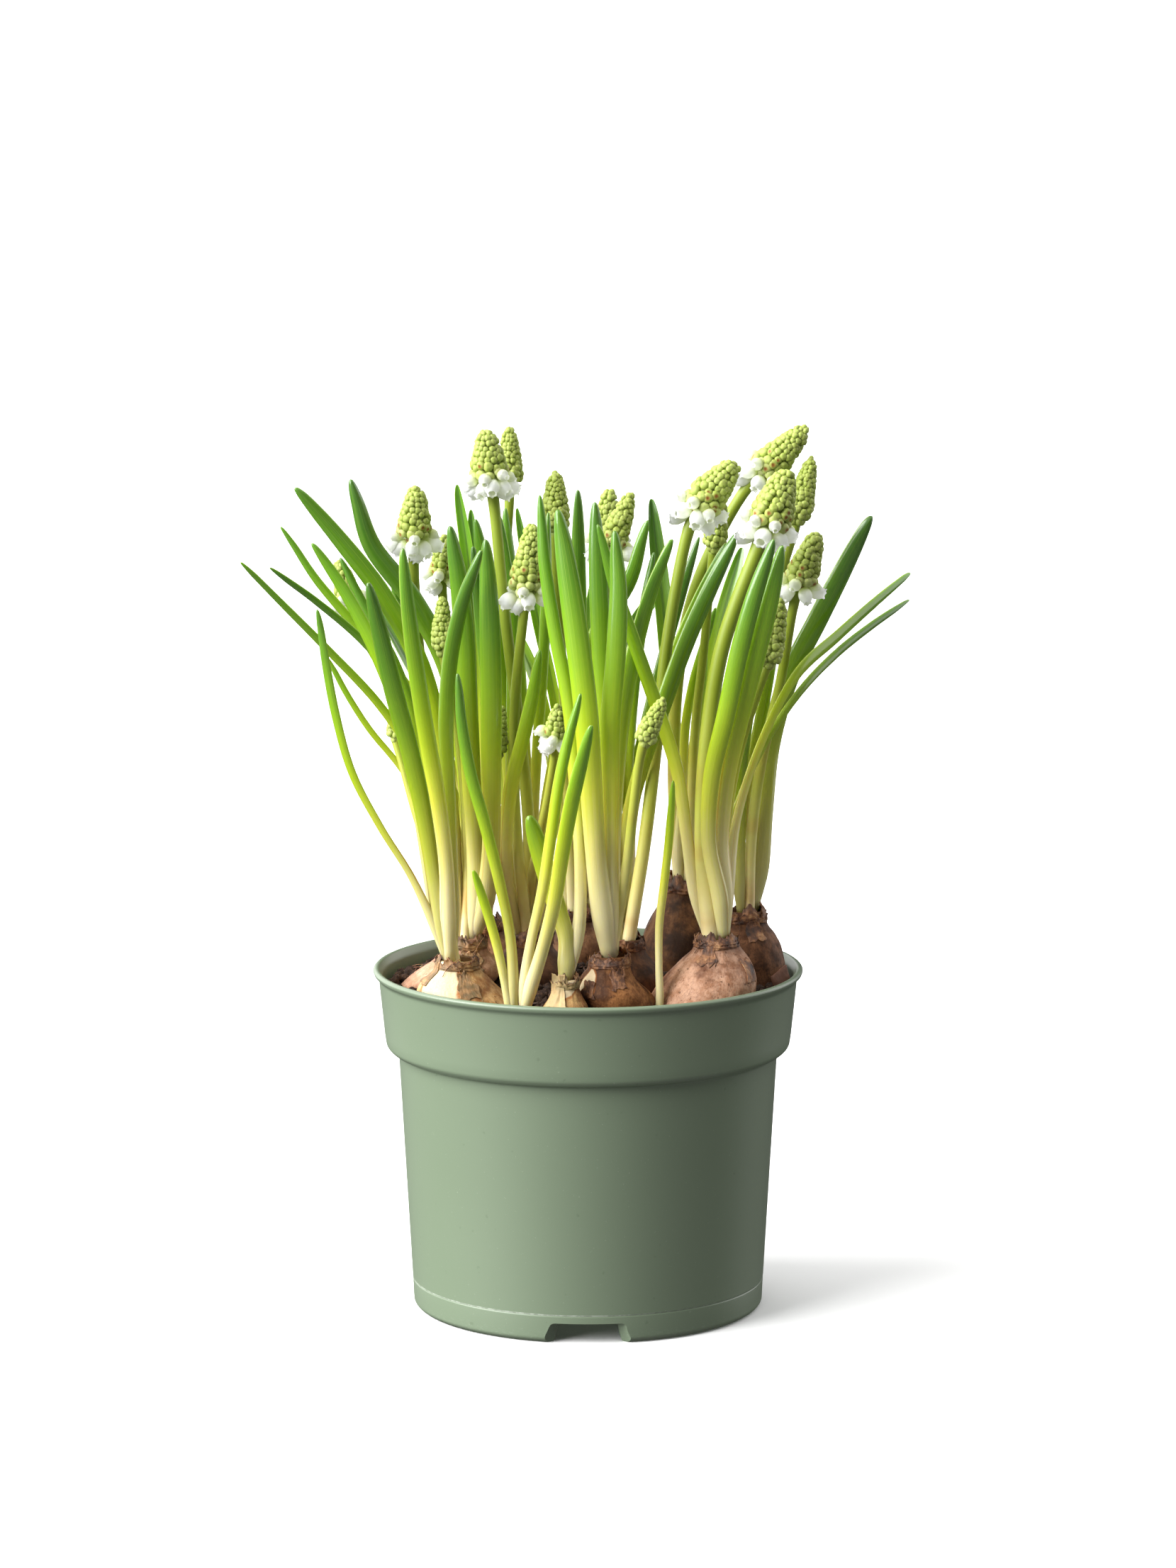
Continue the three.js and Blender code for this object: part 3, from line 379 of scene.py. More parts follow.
# %% Light
SUNS = {  # strength, spread, compass direction (0 is in front, 90 is from the right), height in degrees
    "key": (9.1, 60, -68, 29),
    "top": (1.5, 90, 10, 80),
    "back": (1.9, 70, -138, 24),
    "far_right": (1.6, 60, 118, 18),
    "bounce": (0.6, 140, 0, -48),
}
for name, (strength, spread, azimuth, height) in SUNS.items():
    sun = bpy.data.lights.new(name, "SUN")
    sun.energy, sun.angle = strength, math.radians(spread)
    placed(name, sun).rotation_euler = (math.radians(90 - height), 0.0, math.radians(azimuth))

world = bpy.data.worlds.new("studio")
world.use_nodes = True
world.node_tree.nodes["Background"].inputs["Color"].default_value = (1, 1, 1, 1)
world.node_tree.nodes["Background"].inputs["Strength"].default_value = 0.05
bpy.context.scene.world = world
bpy.context.scene.view_settings.view_transform = "Standard"
print(len(SUNS), "soft suns and a faint even sky")

# %% [markdown]
# The sweep is one huge sheet, so that no edge of it shows. It takes no part in the light that bounces
# and casts no shadow of its own, so the suns behind and below can shine past it.

# %% Floor
HALF_FLOOR = 30000
floor_sheet = Surface()
floor_corners = [[x * HALF_FLOOR, y * HALF_FLOOR, 0] for x, y in ((-1, -1), (1, -1), (1, 1), (-1, 1))]
floor_sheet.add(floor_corners, [[0, 1, 2, 3]])
floor_finish = Finish("white_sweep", Roughness=0.9)
floor_finish.feed(Base_Color=floor_finish.mix(floor_finish.noise(9.0), (249, 249, 248), (252, 252, 252)))
floor = placed("floor", floor_sheet.mesh("floor"))
floor.data.materials.append(floor_finish.material)
floor.visible_diffuse = False
floor.visible_glossy = False
floor.visible_shadow = False
print("a white floor", 2 * HALF_FLOOR * MM, "m across")

# %% [markdown]
# ## The plants
# Each row is one bulb with its leaves and spikes, in the same numbers as the solids. A bulb is its
# place in the pot, its radius, the height where it is widest, the mouth of its neck, and the radius
# and height of its collar. A leaf is its width, the way its back faces, and the points its midrib
# passes. A spike is its stalk and bud-cone radius, the cone's length, its number of bells, and its
# route. Typing the routes once and growing everything from them keeps leaves, stalks and heads
# together.

# %% Plants
PLANTS = [
    ("01", (-31, -28), 12.5, 90, (-36, -27, 103), (5.4, 3), [
        [3.6, -60, (-46, -30, 122), (-63, -36, 153), (-69, -40, 175), (-73, -42, 202)],
        [4.6, -30, (-45, -25, 137), (-53, -22, 172), (-66, -20, 201), (-76, -20, 217)],
        [5.2, -10, (-42, -31, 130), (-46, -34, 154), (-52, -37, 178), (-59, -40, 209)],
        [4.9, 10, (-39, -33, 134), (-45, -36, 174), (-48, -37, 197), (-50, -38, 218)],
        [4.5, 30, (-38, -26, 137), (-39, -22, 172), (-36, -22, 195), (-29, -26, 216)],
        [3.4, -20, (-43, -20, 142), (-52, -14, 178), (-60, -12, 196), (-67, -10, 213)],
    ], [[1.2, 2.0, 9, 0, (-45, -22, 136), (-50, -18, 159), (-53, -16, 171)]]),
    ("02", (-41, -2), 12.3, 92, (-34, -4, 105), (5.4, 4), [
        [5.8, -20, (-36, -4, 133), (-43, -6, 171), (-51, -8, 191), (-62, -10, 207), (-81, -14, 231)],
        [5.8, -10, (-34, -1, 139), (-38, 2, 176), (-44, 2, 194), (-57, 2, 210), (-65, 2, 233)],
        [5.8, 0, (-33, -8, 134), (-34, -10, 170), (-35, -11, 198), (-38, -12, 221)],
        [5.9, 5, (-28, -10, 122), (-27, -14, 151), (-27, -17, 191), (-28, -18, 218)],
        [3.6, -40, (-37, -8, 130), (-47, -18, 159), (-58, -24, 176), (-75, -32, 195), (-93, -42, 215)],
        [4.0, -15, (-37, 0, 139), (-45, 2, 172), (-49, 3, 188), (-53, 3, 204)],
    ], [
        [1.7, 4.6, 16, 6, (-37, 2, 132), (-45, 4, 168), (-49, 2, 205), (-48, 0, 230)],
        [1.4, 3.0, 16, 0, (-34, -2, 133), (-37, -6, 169), (-40, -8, 185), (-40, -8, 201)],
        [1.3, 2.6, 14, 0, (-27, -4, 129), (-24, -6, 155), (-22, -6, 170)],
    ]),
    ("03", (-20, -43), 7.4, 80, (-19, -42, 90), (4.4, 3), [
        [3.0, -30, (-25, -46, 111), (-31, -50, 132)],
        [3.4, -15, (-21, -46, 111), (-26, -50, 137), (-33, -52, 165), (-35, -52, 186)],
        [3.2, 5, (-17, -46, 103), (-12, -50, 128), (-7, -53, 161), (-2, -55, 181)],
        [4.3, 15, (-14, -48, 104), (-10, -52, 118), (-5, -58, 148), (1, -66, 174)],
    ], []),
    ("04", (-7, -45), 6.3, 91, (-6, -45, 101), (3.4, 3), [
        [5.5, -20, (-6, -44, 111), (-10, -44, 125), (-16, -44, 146)],
        [3.9, -15, (-2, -43, 119), (-3, -40, 145), (-5, -38, 174), (-11, -36, 207), (-13, -34, 232)],
    ], []),
    ("05", (9, -35), 10, 93, (6, -37, 106), (5.0, 4), [
        [6.7, -5, (3, -41, 136), (0, -44, 175), (-4, -44, 204), (-8, -42, 229)],
        [5.5, 5, (6, -40, 136), (6, -42, 175), (8, -42, 200), (7, -40, 223)],
        [5.5, 25, (7, -34, 138), (10, -31, 173), (16, -28, 200), (23, -26, 219)],
    ], [[1.5, 2.9, 14, 0, (10, -44, 136), (14, -50, 165), (20, -52, 179)]]),
    ("06", (8, -12), 11.5, 92, (10, -12, 106), (5.2, 4), [
        [5.5, -5, (7, -16, 141), (4, -18, 191), (2, -16, 228)],
        [5.1, 30, (13, -14, 135), (23, -18, 171), (31, -20, 195), (42, -22, 220)],
        [4.0, 25, (12, -8, 140), (20, -8, 170), (26, -9, 190), (38, -10, 216)],
        [3.6, 20, (11, -4, 139), (17, 0, 169), (23, 2, 190), (31, 4, 216)],
        [3.4, 10, (10, -4, 149), (13, 0, 182), (18, 2, 212)],
    ], [
        [1.6, 3.8, 17, 4, (10, -6, 140), (8, 0, 178), (6, 4, 208), (12, 4, 228)],
        [1.9, 5.4, 18, 8, (15, -14, 151), (20, -16, 194), (26, -16, 221), (40, -16, 239)],
    ]),
    ("07", (-16, 6), 11.5, 91, (-16, 6, 104), (5.7, 4), [
        [4.3, 10, (-21, -4, 129), (-20, -8, 150), (-16, -10, 170), (-14, -12, 187)],
        [4.5, -10, (-19, 2, 138), (-20, -2, 189), (-22, -3, 203), (-25, -4, 223)],
        [4.4, -20, (-20, 8, 137), (-25, 6, 188), (-31, 4, 221)],
        [4.0, -5, (-17, 10, 137), (-20, 12, 187), (-23, 14, 223)],
        [4.0, -30, (-21, 12, 131), (-28, 16, 176), (-32, 16, 212)],
        [3.2, 10, (-15, 8, 137), (-12, 10, 187), (-11, 12, 222)],
        [5.0, 30, (-15, 2, 132), (-7, -6, 169), (1, -10, 190), (10, -14, 204), (16, -16, 223)],
    ], [
        [1.8, 5.0, 15, 9, (-19, 0, 133), (-23, -6, 177), (-26, -8, 209), (-27, -8, 226), (-28, -8, 247)],
        [1.6, 4.5, 20, 4, (-21, -2, 133), (-21, -8, 170), (-18, -14, 198), (-15, -16, 222)],
        [1.3, 3.2, 10, 5, (-15, 0, 120), (-12, -15, 138), (-9, -26, 158), (-8, -33, 174)],
    ]),
    ("08", (30, -27), 14, 91, (35, -26, 109), (5.4, 3), [
        [5.1, -20, (31, -30, 142), (37, -36, 174), (43, -40, 200), (50, -42, 221)],
        [5.6, 20, (35, -28, 141), (41, -34, 174), (47, -38, 197), (52, -40, 219)],
        [4.2, -20, (28, -30, 153), (18, -32, 181), (8, -34, 207), (3, -34, 224)],
        [4.3, 60, (41, -22, 142), (55, -12, 176), (71, 8, 189), (91, 35, 202)],
        [3.0, 60, (42, -18, 146), (57, -4, 171), (71, 14, 183), (91, 38, 194)],
    ], [
        [2.4, 5.8, 18, 8, (32, -26, 133), (32, -27, 153), (34, -28, 181), (41, -28, 204), (54, -26, 238)],
        [1.5, 3.5, 19, 0, (38, -20, 142), (44, -16, 169), (49, -16, 183), (53, -16, 201)],
    ]),
    ("09", (41, 3), 13, 91, (44, 4, 111), (5.4, 4), [
        [6.7, 30, (48, 6, 138), (50, 8, 157), (55, 10, 175), (66, 14, 196), (79, 20, 220)],
        [3.5, 0, (45, 8, 147), (50, 10, 177), (56, 12, 216)],
        [3.5, -10, (43, 2, 132), (43, 0, 153), (46, -2, 177)],
        [4.6, 130, (49, 14, 138), (58, 30, 172), (72, 50, 200)],
    ], [
        [1.6, 3.6, 19, 0, (44, 8, 141), (48, 8, 177), (54, 6, 201), (58, 6, 218), (62, 6, 238)],
        [1.6, 4.4, 17, 5, (46, 4, 142), (53, -4, 177), (57, -8, 201), (63, -10, 219)],
    ]),
    ("10", (25, 25), 11, 94, (27, 26, 116), (4.8, 5), [
        [3.0, 30, (28, 22, 145), (29, 18, 166), (36, 14, 195)],
        [3.0, 20, (29, 24, 145), (31, 22, 165), (33, 20, 181)],
        [4.8, 160, (30, 34, 145), (36, 46, 180), (44, 62, 206)],
        [5.0, 180, (25, 34, 145), (22, 44, 185), (18, 54, 221)],
    ], [
        [1.4, 3.2, 15, 0, (29, 20, 155), (32, 10, 187), (34, 6, 209), (37, 4, 227)],
        [1.9, 4.8, 18, 7, (26, 24, 149), (27, 18, 180), (31, 12, 201), (37, 10, 219), (60, 6, 246)],
    ]),
    ("11", (-3, 38), 12.5, 91, (-3, 38, 105), (5.2, 4), [
        [4.5, 0, (-2, 36, 153), (-3, 34, 194), (-3, 32, 226)],
        [3.5, 160, (-7, 40, 152), (-15, 40, 193), (-20, 40, 220)],
        [5.2, 180, (-2, 44, 137), (0, 52, 175), (5, 66, 208)],
        [5.0, 150, (3, 42, 139), (10, 48, 180), (22, 60, 196)],
        [4.6, -150, (-8, 44, 136), (-16, 54, 172), (-30, 64, 195)],
    ], [
        [1.6, 4.0, 17, 0, (-5, 36, 143), (-8, 28, 195), (-9, 24, 215), (-9, 22, 232)],
        [1.6, 4.2, 16, 5, (0, 42, 140), (4, 46, 185), (6, 48, 224)],
    ]),
    ("12", (-29, 26), 12.5, 91, (-30, 26, 104), (5.4, 4), [
        [3.2, -40, (-36, 24, 135), (-51, 16, 170), (-65, 10, 188), (-88, 0, 208)],
        [3.2, -30, (-38, 26, 144), (-57, 24, 179), (-71, 22, 194), (-86, 20, 217)],
        [3.0, -60, (-40, 24, 124), (-50, 20, 145), (-57, 18, 154), (-65, 14, 166), (-73, 10, 182)],
        [4.4, 180, (-32, 28, 144), (-33, 28, 185), (-34, 28, 205), (-37, 28, 228)],
        [4.0, 170, (-30, 32, 143), (-31, 34, 184), (-33, 36, 220)],
        [4.8, -150, (-36, 34, 134), (-46, 46, 165), (-60, 58, 188)],
    ], [
        [1.5, 3.6, 17, 0, (-28, 26, 134), (-25, 22, 185), (-22, 20, 228), (-22, 20, 245)],
        [1.5, 3.4, 13, 5, (-32, 30, 134), (-38, 24, 175), (-41, 20, 196), (-40, 18, 215)],
        [1.4, 3.4, 13, 4, (-38, 34, 137), (-52, 34, 167), (-65, 34, 190), (-70, 34, 206)],
    ]),
]
SHOOT_ROOT = (19, -38, 87)
SHOOT_LEAF = [2.4, -10, (19, -37, 115), (21, -38, 131), (23, -40, 155)]
SHOOT_NECK = 95


class Plant:
    def __init__(self, name, at, radius, widest, neck, collar, leaves, spikes):
        self.name, self.at, self.radius, self.widest = name, at, radius, widest
        self.neck, self.collar, self.leaves, self.spikes = np.array(neck, float), collar, leaves, spikes


plants = [Plant(*row) for row in PLANTS]
print(len(plants), "bulbs,", sum(len(p.leaves) for p in plants), "leaves,",
      sum(len(p.spikes) for p in plants), "spikes")

# %% [markdown]
# ## Lines of growth
# A leaf or stalk follows a smooth curve through its route. The curve is the centripetal kind, which
# never loops between close points. Walking it by length, not by parameter, spaces the sections evenly.

# %% Curves
DIVISIONS = 200  # stretches in which a curve's length is measured


def curve_at(route, t):
    """Points of a centripetal curve through the route at parameters 0 to 1."""
    route = np.asarray(route, float)
    ends = np.vstack([2 * route[0] - route[1], route, 2 * route[-1] - route[-2]])
    spans = len(route) - 1
    place = np.clip(np.asarray(t, float), 0, 1) * spans
    span = np.minimum(place.astype(int), spans - 1)
    x = (place - span)[:, None]
    p0, p1, p2, p3 = (ends[span + i] for i in range(4))
    pairs = ((p0, p1), (p1, p2), (p2, p3))
    d0, d1, d2 = (np.sum((b - a) ** 2, 1, keepdims=True) ** 0.25 for a, b in pairs)
    t1 = ((p1 - p0) / d0 - (p2 - p0) / (d0 + d1) + (p2 - p1) / d1) * d1
    t2 = ((p2 - p1) / d1 - (p3 - p1) / (d1 + d2) + (p3 - p2) / d2) * d1
    return p1 + t1 * x + (3 * (p2 - p1) - 2 * t1 - t2) * x**2 + (2 * (p1 - p2) + t1 + t2) * x**3


def measured(route):
    """Parameters along a curve and the length walked at each."""
    steps = np.linspace(0, 1, DIVISIONS + 1)
    points = curve_at(route, steps)
    return steps, np.concatenate([[0], np.cumsum(np.linalg.norm(np.diff(points, axis=0), axis=1))])


def points_along(route, shares):
    """Points at shares of the curve's length."""
    steps, lengths = measured(route)
    return curve_at(route, np.interp(np.asarray(shares) * lengths[-1], lengths, steps))


def frames_along(points, turn):
    """Directions at each point of strands: along, out of the back, and to the side."""
    angle = np.radians(turn)
    facing = np.stack([np.sin(angle), -np.cos(angle), np.zeros_like(angle)], -1)[..., None, :]
    ahead = np.concatenate([points[..., 1:, :], points[..., -1:, :]], -2)
    behind = np.concatenate([points[..., :1, :], points[..., :-1, :]], -2)
    along = unit(ahead - behind)
    back = unit(facing - along * np.sum(facing * along, -1, keepdims=True))
    return along, back, np.cross(back, along)


print("a straight curve of 10 mm measures", round(float(measured([(0, 0, 0), (0, 0, 10)])[1][-1]), 3))

# %% [markdown]
# ## Strands
# A leaf is narrow at its foot, widest past the middle and blunt at its tip, and it is thickest low
# down. Nine points along each leaf or spike, with its half width and half depth there, are enough to
# find out which neighbours it would run through.

# %% Leaves and spikes as strands
LEAF_SHARES = np.array([0, 0.1, 0.24, 0.4, 0.56, 0.72, 0.86, 0.95, 1])
STEPS = len(LEAF_SHARES) - 1
BELL_LENGTH, SKIRT_WIDTH = 5.5, 1.8


def leaf_width(share, blunt=0.5):
    foot = 0.55 + 0.25 * smoothstep(share, 0, 0.12) + 0.2 * smoothstep(share, 0.1, 0.6)
    return foot * (1 - np.clip((share - 0.68) / 0.32, 0, 1) ** 2.4) ** blunt


def leaf_thickness(width, share):
    return np.maximum(1.25, width * lerp(0.42, 0.3, smoothstep(share, 0, 0.5)))


class Strand:
    """A leaf or a spike: its nine settled points and its half width and half depth at each."""

    def __init__(self, plant, turn, points, half_side, half_back, row, is_leaf):
        self.plant, self.turn, self.points, self.row, self.is_leaf = plant, turn, points, row, is_leaf
        self.half_side, self.half_back = half_side, half_back


def make_leaf(plant_name, row, root):
    width, turn, *route = row
    points = points_along([root, *route], LEAF_SHARES)
    half_side = np.maximum(0.5, width / 2 * leaf_width(LEAF_SHARES))
    half_back = leaf_thickness(width, LEAF_SHARES) / 2
    return Strand(plant_name, turn, points, half_side, half_back, row, True)


def make_spike(plant_name, row, root):
    stalk, bud, cone, bells, *route = row
    length = measured([root, *route])[1][-1]
    neck = 1 - cone / length
    below = neck - BELL_LENGTH / length
    shares = [s * below for s in (0, 0.25, 0.5, 0.75, 1)]
    shares += [neck, neck + (1 - neck) / 3, neck + (1 - neck) * 2 / 3, 1]
    skirt = bud + SKIRT_WIDTH if bells else bud
    half_side = np.array([stalk] * 4 + [skirt if bells else stalk, skirt, bud, bud * 0.8, bud * 0.4])
    points = points_along([root, *route], shares)
    return Strand(plant_name, 0, points, half_side, half_side, row, False)


print("a leaf 5 mm wide is", float(leaf_thickness(5, 0.0)), "mm thick at its foot")

# %% [markdown]
# Stalks stand in the middle of a bulb's neck, evenly spaced round it when there are several. The
# leaves stand round them, each on the side it leans to, or as near to that side as there is room.

# %% Roots in the necks
CLEARANCE, COLLAR_WALL = 0.3, 0.9
ROOT_ROOM, ROOT_TURNS = 0.8, (0, 12, -12, 24, -24, 36, -36, 48, -48, 60, -60, 72, -72)


def sheath_radius(plant):
    return plant.collar[0] - COLLAR_WALL - 1.2 * CLEARANCE


def leaf_root(plant, row, spikes):
    """The foot of a leaf, on the side it leans to, or as near to that side as the stalks leave room."""
    width, _, *route = row
    target = route[min(1, len(route) - 1)]
    lean = math.atan2(target[1] - plant.neck[1], target[0] - plant.neck[0])
    ring = sheath_radius(plant) - 0.3 * width
    best, most = None, -math.inf
    for turn in ROOT_TURNS:
        angle = lean + math.radians(turn)
        at = plant.neck + ring * np.array([math.cos(angle), math.sin(angle), 0])
        room = min([ROOT_ROOM] + [math.dist(at[:2], s.points[0][:2]) - s.row[0] for s in spikes])
        if room > most:
            best, most = at, room
    return best


def spike_root(plant, number):
    """The foot of a stalk; several stalks stand in a ring, in the order in which they lean."""
    starts = np.array([row[4] for row in plant.spikes], float)
    middle = starts.mean(0)
    leans = np.arctan2(starts[:, 1] - middle[1], starts[:, 0] - middle[0])
    ranks = [int(np.sum(leans < lean)) for lean in leans]
    angle = leans[0] + 2 * math.pi * (ranks[number] - ranks[0]) / len(starts)
    others = [row[0] + CLEARANCE for i, row in enumerate(plant.spikes) if i != number]
    off = max(others) / math.sin(math.pi / len(starts)) if others else 0
    return plant.neck + np.array([off * math.cos(angle), off * math.sin(angle), -1.5])


strands = []
for plant in plants:
    spikes = [make_spike(plant.name, row, spike_root(plant, i)) for i, row in enumerate(plant.spikes)]
    leaves = [make_leaf(plant.name, row, leaf_root(plant, row, spikes)) for row in plant.leaves]
    strands += leaves + spikes
strands.append(make_leaf("shoot", SHOOT_LEAF, np.array(SHOOT_ROOT, float)))
print(len(strands), "strands before settling")

# %% [markdown]
# Strands keep out of the bulbs too, so the outlines of the bulbs are needed here. A bulb is an onion
# shape from its base plate to the mouth of its neck, and its axis leans from where the bulb stands to
# where its neck comes out. The same outlines are turned into bulb bodies further on.

# %% Bulb outlines
BULB_BELLY = [(0.5, -0.86), (0.96, -0.36), (0.98, 0.28), (0.76, 0.7)]  # shares of radius and height
SOCKET_DEPTH = 6


def bulb_outline(plant):
    """Radius and height of a bulb from its base plate to the mouth of its neck."""
    collar, collar_height = plant.collar
    shoulder = plant.neck[2] - collar_height
    belly = [
        (max(plant.radius * r, collar if h > 0 else 0),
         plant.widest + h * ((shoulder - plant.widest) if h > 0 else plant.radius))
        for r, h in BULB_BELLY
    ]
    return np.array([*belly, (collar + 0.08 * plant.radius, shoulder), (collar, plant.neck[2])])


def bulb_middle(plant, z):
    """Where the leaning axis of a bulb stands at a height."""
    share = smoothstep(z, plant.widest - 4, plant.neck[2] - SOCKET_DEPTH)[..., None]
    return lerp(np.array(plant.at, float), plant.neck[:2], share)


print("widest bulb:", max(p.radius for p in plants) * 2, "mm")

# %% [markdown]
# ## Strands that lean on each other
# The solids were settled: neighbouring leaves and stalks push apart until none runs through another.
# The same settling, step for step, puts these fine leaves in the same places. Two things push: the
# nearest points of two strands, and the bulbs and the rim of the pot.

# %% What pushes
ROOM = 0.7  # air kept between neighbours
RIM_RADIUS, RIM_ROOM, POT_HEIGHT = 60, 3.2, 96


def closest(a0, a1, b0, b1):
    """Nearest places on pairs of straight parts, and the gap between them."""
    u, v, w = a1 - a0, b1 - b0, a0 - b0
    uu, uv, vv, uw, vw = (np.sum(p * q, -1) for p, q in ((u, u), (u, v), (v, v), (u, w), (v, w)))
    slant = uu * vv - uv * uv
    safe = np.where(slant > 1e-9, slant, 1)
    s = np.where(slant > 1e-9, np.clip((uv * vw - vv * uw) / safe, 0, 1), 0.5)
    t = np.clip((uv * s + vw) / vv, 0, 1)
    s = np.clip((uv * t - uw) / uu, 0, 1)
    gap = w + u * s[:, None] - v * t[:, None]
    return s, t, gap, np.linalg.norm(gap, axis=-1)


def push_from_bulbs(points, half_side, names, push):
    """Low parts are pushed out of the bulbs of other plants, and inwards from the rim."""
    for part in range(4):
        for share in (0, 0.33, 0.67):
            p = lerp(points[:, part], points[:, part + 1], share)
            moved = push[:, part + (share > 0.5)]
            for plant in plants:
                outline = bulb_outline(plant)
                beside = (p[:, 2] > outline[0, 1]) & (p[:, 2] < outline[-1, 1])
                beside &= ~((names == plant.name) & (p[:, 2] < plant.neck[2] + 2))
                away = p[:, :2] - bulb_middle(plant, p[:, 2])
                far = np.linalg.norm(away, axis=1)
                need = np.interp(p[:, 2], outline[:, 1], outline[:, 0]) + half_side[:, part] + ROOM - far
                moved[:, :2] += unit(away) * (need * (beside & (need > 0)))[:, None]
            far = np.linalg.norm(p[:, :2], axis=1)
            over = far - (RIM_RADIUS - RIM_ROOM - half_side[:, part])
            low = p[:, 2] < POT_HEIGHT + 2
            moved[:, :2] -= unit(p[:, :2]) * (over * ((over > 0) & low))[:, None]


print("neighbours keep", ROOM, "mm apart, and", RIM_ROOM, "mm from the rim")

# %% [markdown]
# Each round measures all pushes first and moves afterwards, so the rounds can be done for all pairs
# at once. A leaf is flat, so how much room it needs depends on the side it is met from. Leaves of one
# tuft may touch low down, where they are fused, and a share of each move passes to the points before
# and after, so that a leaf bends as a whole.

# %% Settle the strands
ROUNDS = 80
NEAR = 34  # parts farther apart than this never meet
TUFT_HEIGHT = 15  # leaves of one tuft are fused up to here
PUSH_WAYS = (0.6, 1, 0.6)  # in full from front to back, less across and upwards
EVEN_OUT = 0.3


def settle(strands):
    points = np.array([s.points for s in strands])
    start = points.copy()
    turn = np.array([float(s.turn) for s in strands])
    half_side = np.array([s.half_side for s in strands])
    half_back = np.array([s.half_back for s in strands])
    names = np.array([s.plant for s in strands])
    leafy = np.array([s.is_leaf for s in strands])
    middles = (points[:, :-1] + points[:, 1:]) / 2
    apart = np.linalg.norm(middles[:, None, :, None] - middles[None, :, None, :], axis=-1)
    once = np.triu(np.ones(apart.shape[:2]), 1)[:, :, None, None].astype(bool)
    i, j, k, m = np.nonzero((apart < NEAR) & once)
    same_tuft = (names[i] == names[j]) & leafy[i] & leafy[j]

    def reach(a, part, share, way, back, side):
        near = np.where(share < 0.5, part, part + 1)
        wide = lerp(half_side[a, part], half_side[a, part + 1], share)
        deep = lerp(half_back[a, part], half_back[a, part + 1], share)
        return np.hypot(wide * np.sum(way * side[a, near], -1), deep * np.sum(way * back[a, near], -1))

    for _ in range(ROUNDS):
        _, back, side = frames_along(points, turn)
        push = np.zeros_like(points)
        s, t, gap, distance = closest(points[i, k], points[i, k + 1], points[j, m], points[j, m + 1])
        height = lerp(points[i, k, 2], points[i, k + 1, 2], s)
        way = np.where(distance[:, None] > 1e-6, gap / np.maximum(distance, 1e-12)[:, None], [0, 1, 0])
        need = reach(i, k, s, way, back, side) + reach(j, m, t, way, back, side) + ROOM
        meet = (distance < need) & ~(same_tuft & (height < points[i, 0, 2] + TUFT_HEIGHT))
        shove = way * (0.5 * (need - distance) * meet)[:, None] * PUSH_WAYS
        for a, part, share in ((i, k, 1 - s), (i, k + 1, s), (j, m, t - 1), (j, m + 1, -t)):
            np.add.at(push, (a, part), shove * share[:, None])
        push_from_bulbs(points, half_side, names, push)
        before, after = push[:, [0, *range(STEPS)]], push[:, [*range(1, STEPS + 1), STEPS]]
        drift = points - start + 0.5 * (push + 0.5 * before + 0.5 * after)
        before, after = drift[:, [0, *range(STEPS)]].copy(), drift[:, [*range(1, STEPS + 1), STEPS]]
        before[:, 1] = 0
        smooth = (2 * drift + before + after) / 4
        points[:, 1:] = (start + lerp(drift, smooth, EVEN_OUT))[:, 1:]
    for strand, moved in zip(strands, points):
        strand.points = moved
    return float(np.abs(points - start).max())


print("settled; the farthest move is", round(settle(strands), 1), "mm")

# %% [markdown]
# ## Leaves
# A grape hyacinth leaf is a fleshy, channelled blade. It leaves the bulb as a thick cream stalk, turns
# yellow-green in the light, and ends deep green with a blunt, hooded tip. The greening of each point is
# a value on the mesh, a mix of its height and its share of the leaf. The finish turns it into colour and
# adds what a real leaf shows: fine fibres, a pale edge, a pink flush low down and a bloom near the tip.
# It also paints shade: a dark line down the middle of the channel, where shade falls.

# %% Leaf finish
leaf_finish = Finish("living_leaf", Subsurface_Weight=0.32, Subsurface_Radius=(0.7, 1.0, 0.10),
                     Subsurface_Scale=0.0016, IOR=1.34, Coat_Roughness=0.17, Coat_IOR=1.60)
f = leaf_finish
greening, across, inner = f.point_value("greening"), f.point_value("across"), f.point_value("inner")
tone, along = f.point_value("tone"), f.point_value("along")
mottle = f.noise(70.0, 3.0)
streak = f.noise(1.0, 3.0, 0.55, vector=f.vector(across * 5.0, along * 1.6, tone * 40.0))
fibre = f.noise(1.0, 2.0, 0.6, vector=f.vector(across * 24.0, along * 3.0, tone * 17.0))
age = greening + (mottle - 0.5) * 0.08 + (streak - 0.5) * 0.14
skin = f.ramp(age, [
    (0.0, (229, 217, 163)), (0.12, (221, 210, 124)), (0.26, (205, 207, 66)), (0.42, (174, 194, 22)),
    (0.60, (136, 174, 8)), (0.80, (95, 145, 4)), (1.0, (58, 110, 5)),
])
skin = f.mix(fibre.step(0.46, 0.80) * 0.34 * greening.step(0.15, 0.6), skin, (184, 206, 70))
edge = abs(across).step(0.93, 1.0) * greening.step(0.1, 0.5)
skin = f.mix(edge * 0.35, skin, (190, 206, 90))
pink = (1 - greening.step(0.12, 0.50)) * streak.step(0.52, 0.72) * abs(across).step(0.35, 0.9)
skin = f.mix(pink * 0.7, skin, (206, 136, 60))
bloom = greening.step(0.60, 1.0) * mottle.step(0.35, 0.75)
skin = f.mix(bloom * 0.22, skin, (100, 146, 60))
# Painted shade: the bottom of the channel, on the inner face, is darkened where shade falls.
painted_channel_shade = inner * (1 - abs(across).step(0.0, 0.30)) * greening.step(0.3, 0.7)
skin = f.mix(painted_channel_shade * 0.6, skin, (26, 66, 6))
skin = f.mix(tone * 0.38, skin, (38, 70, 0))
speck = f.noise(1500.0, 1.0)
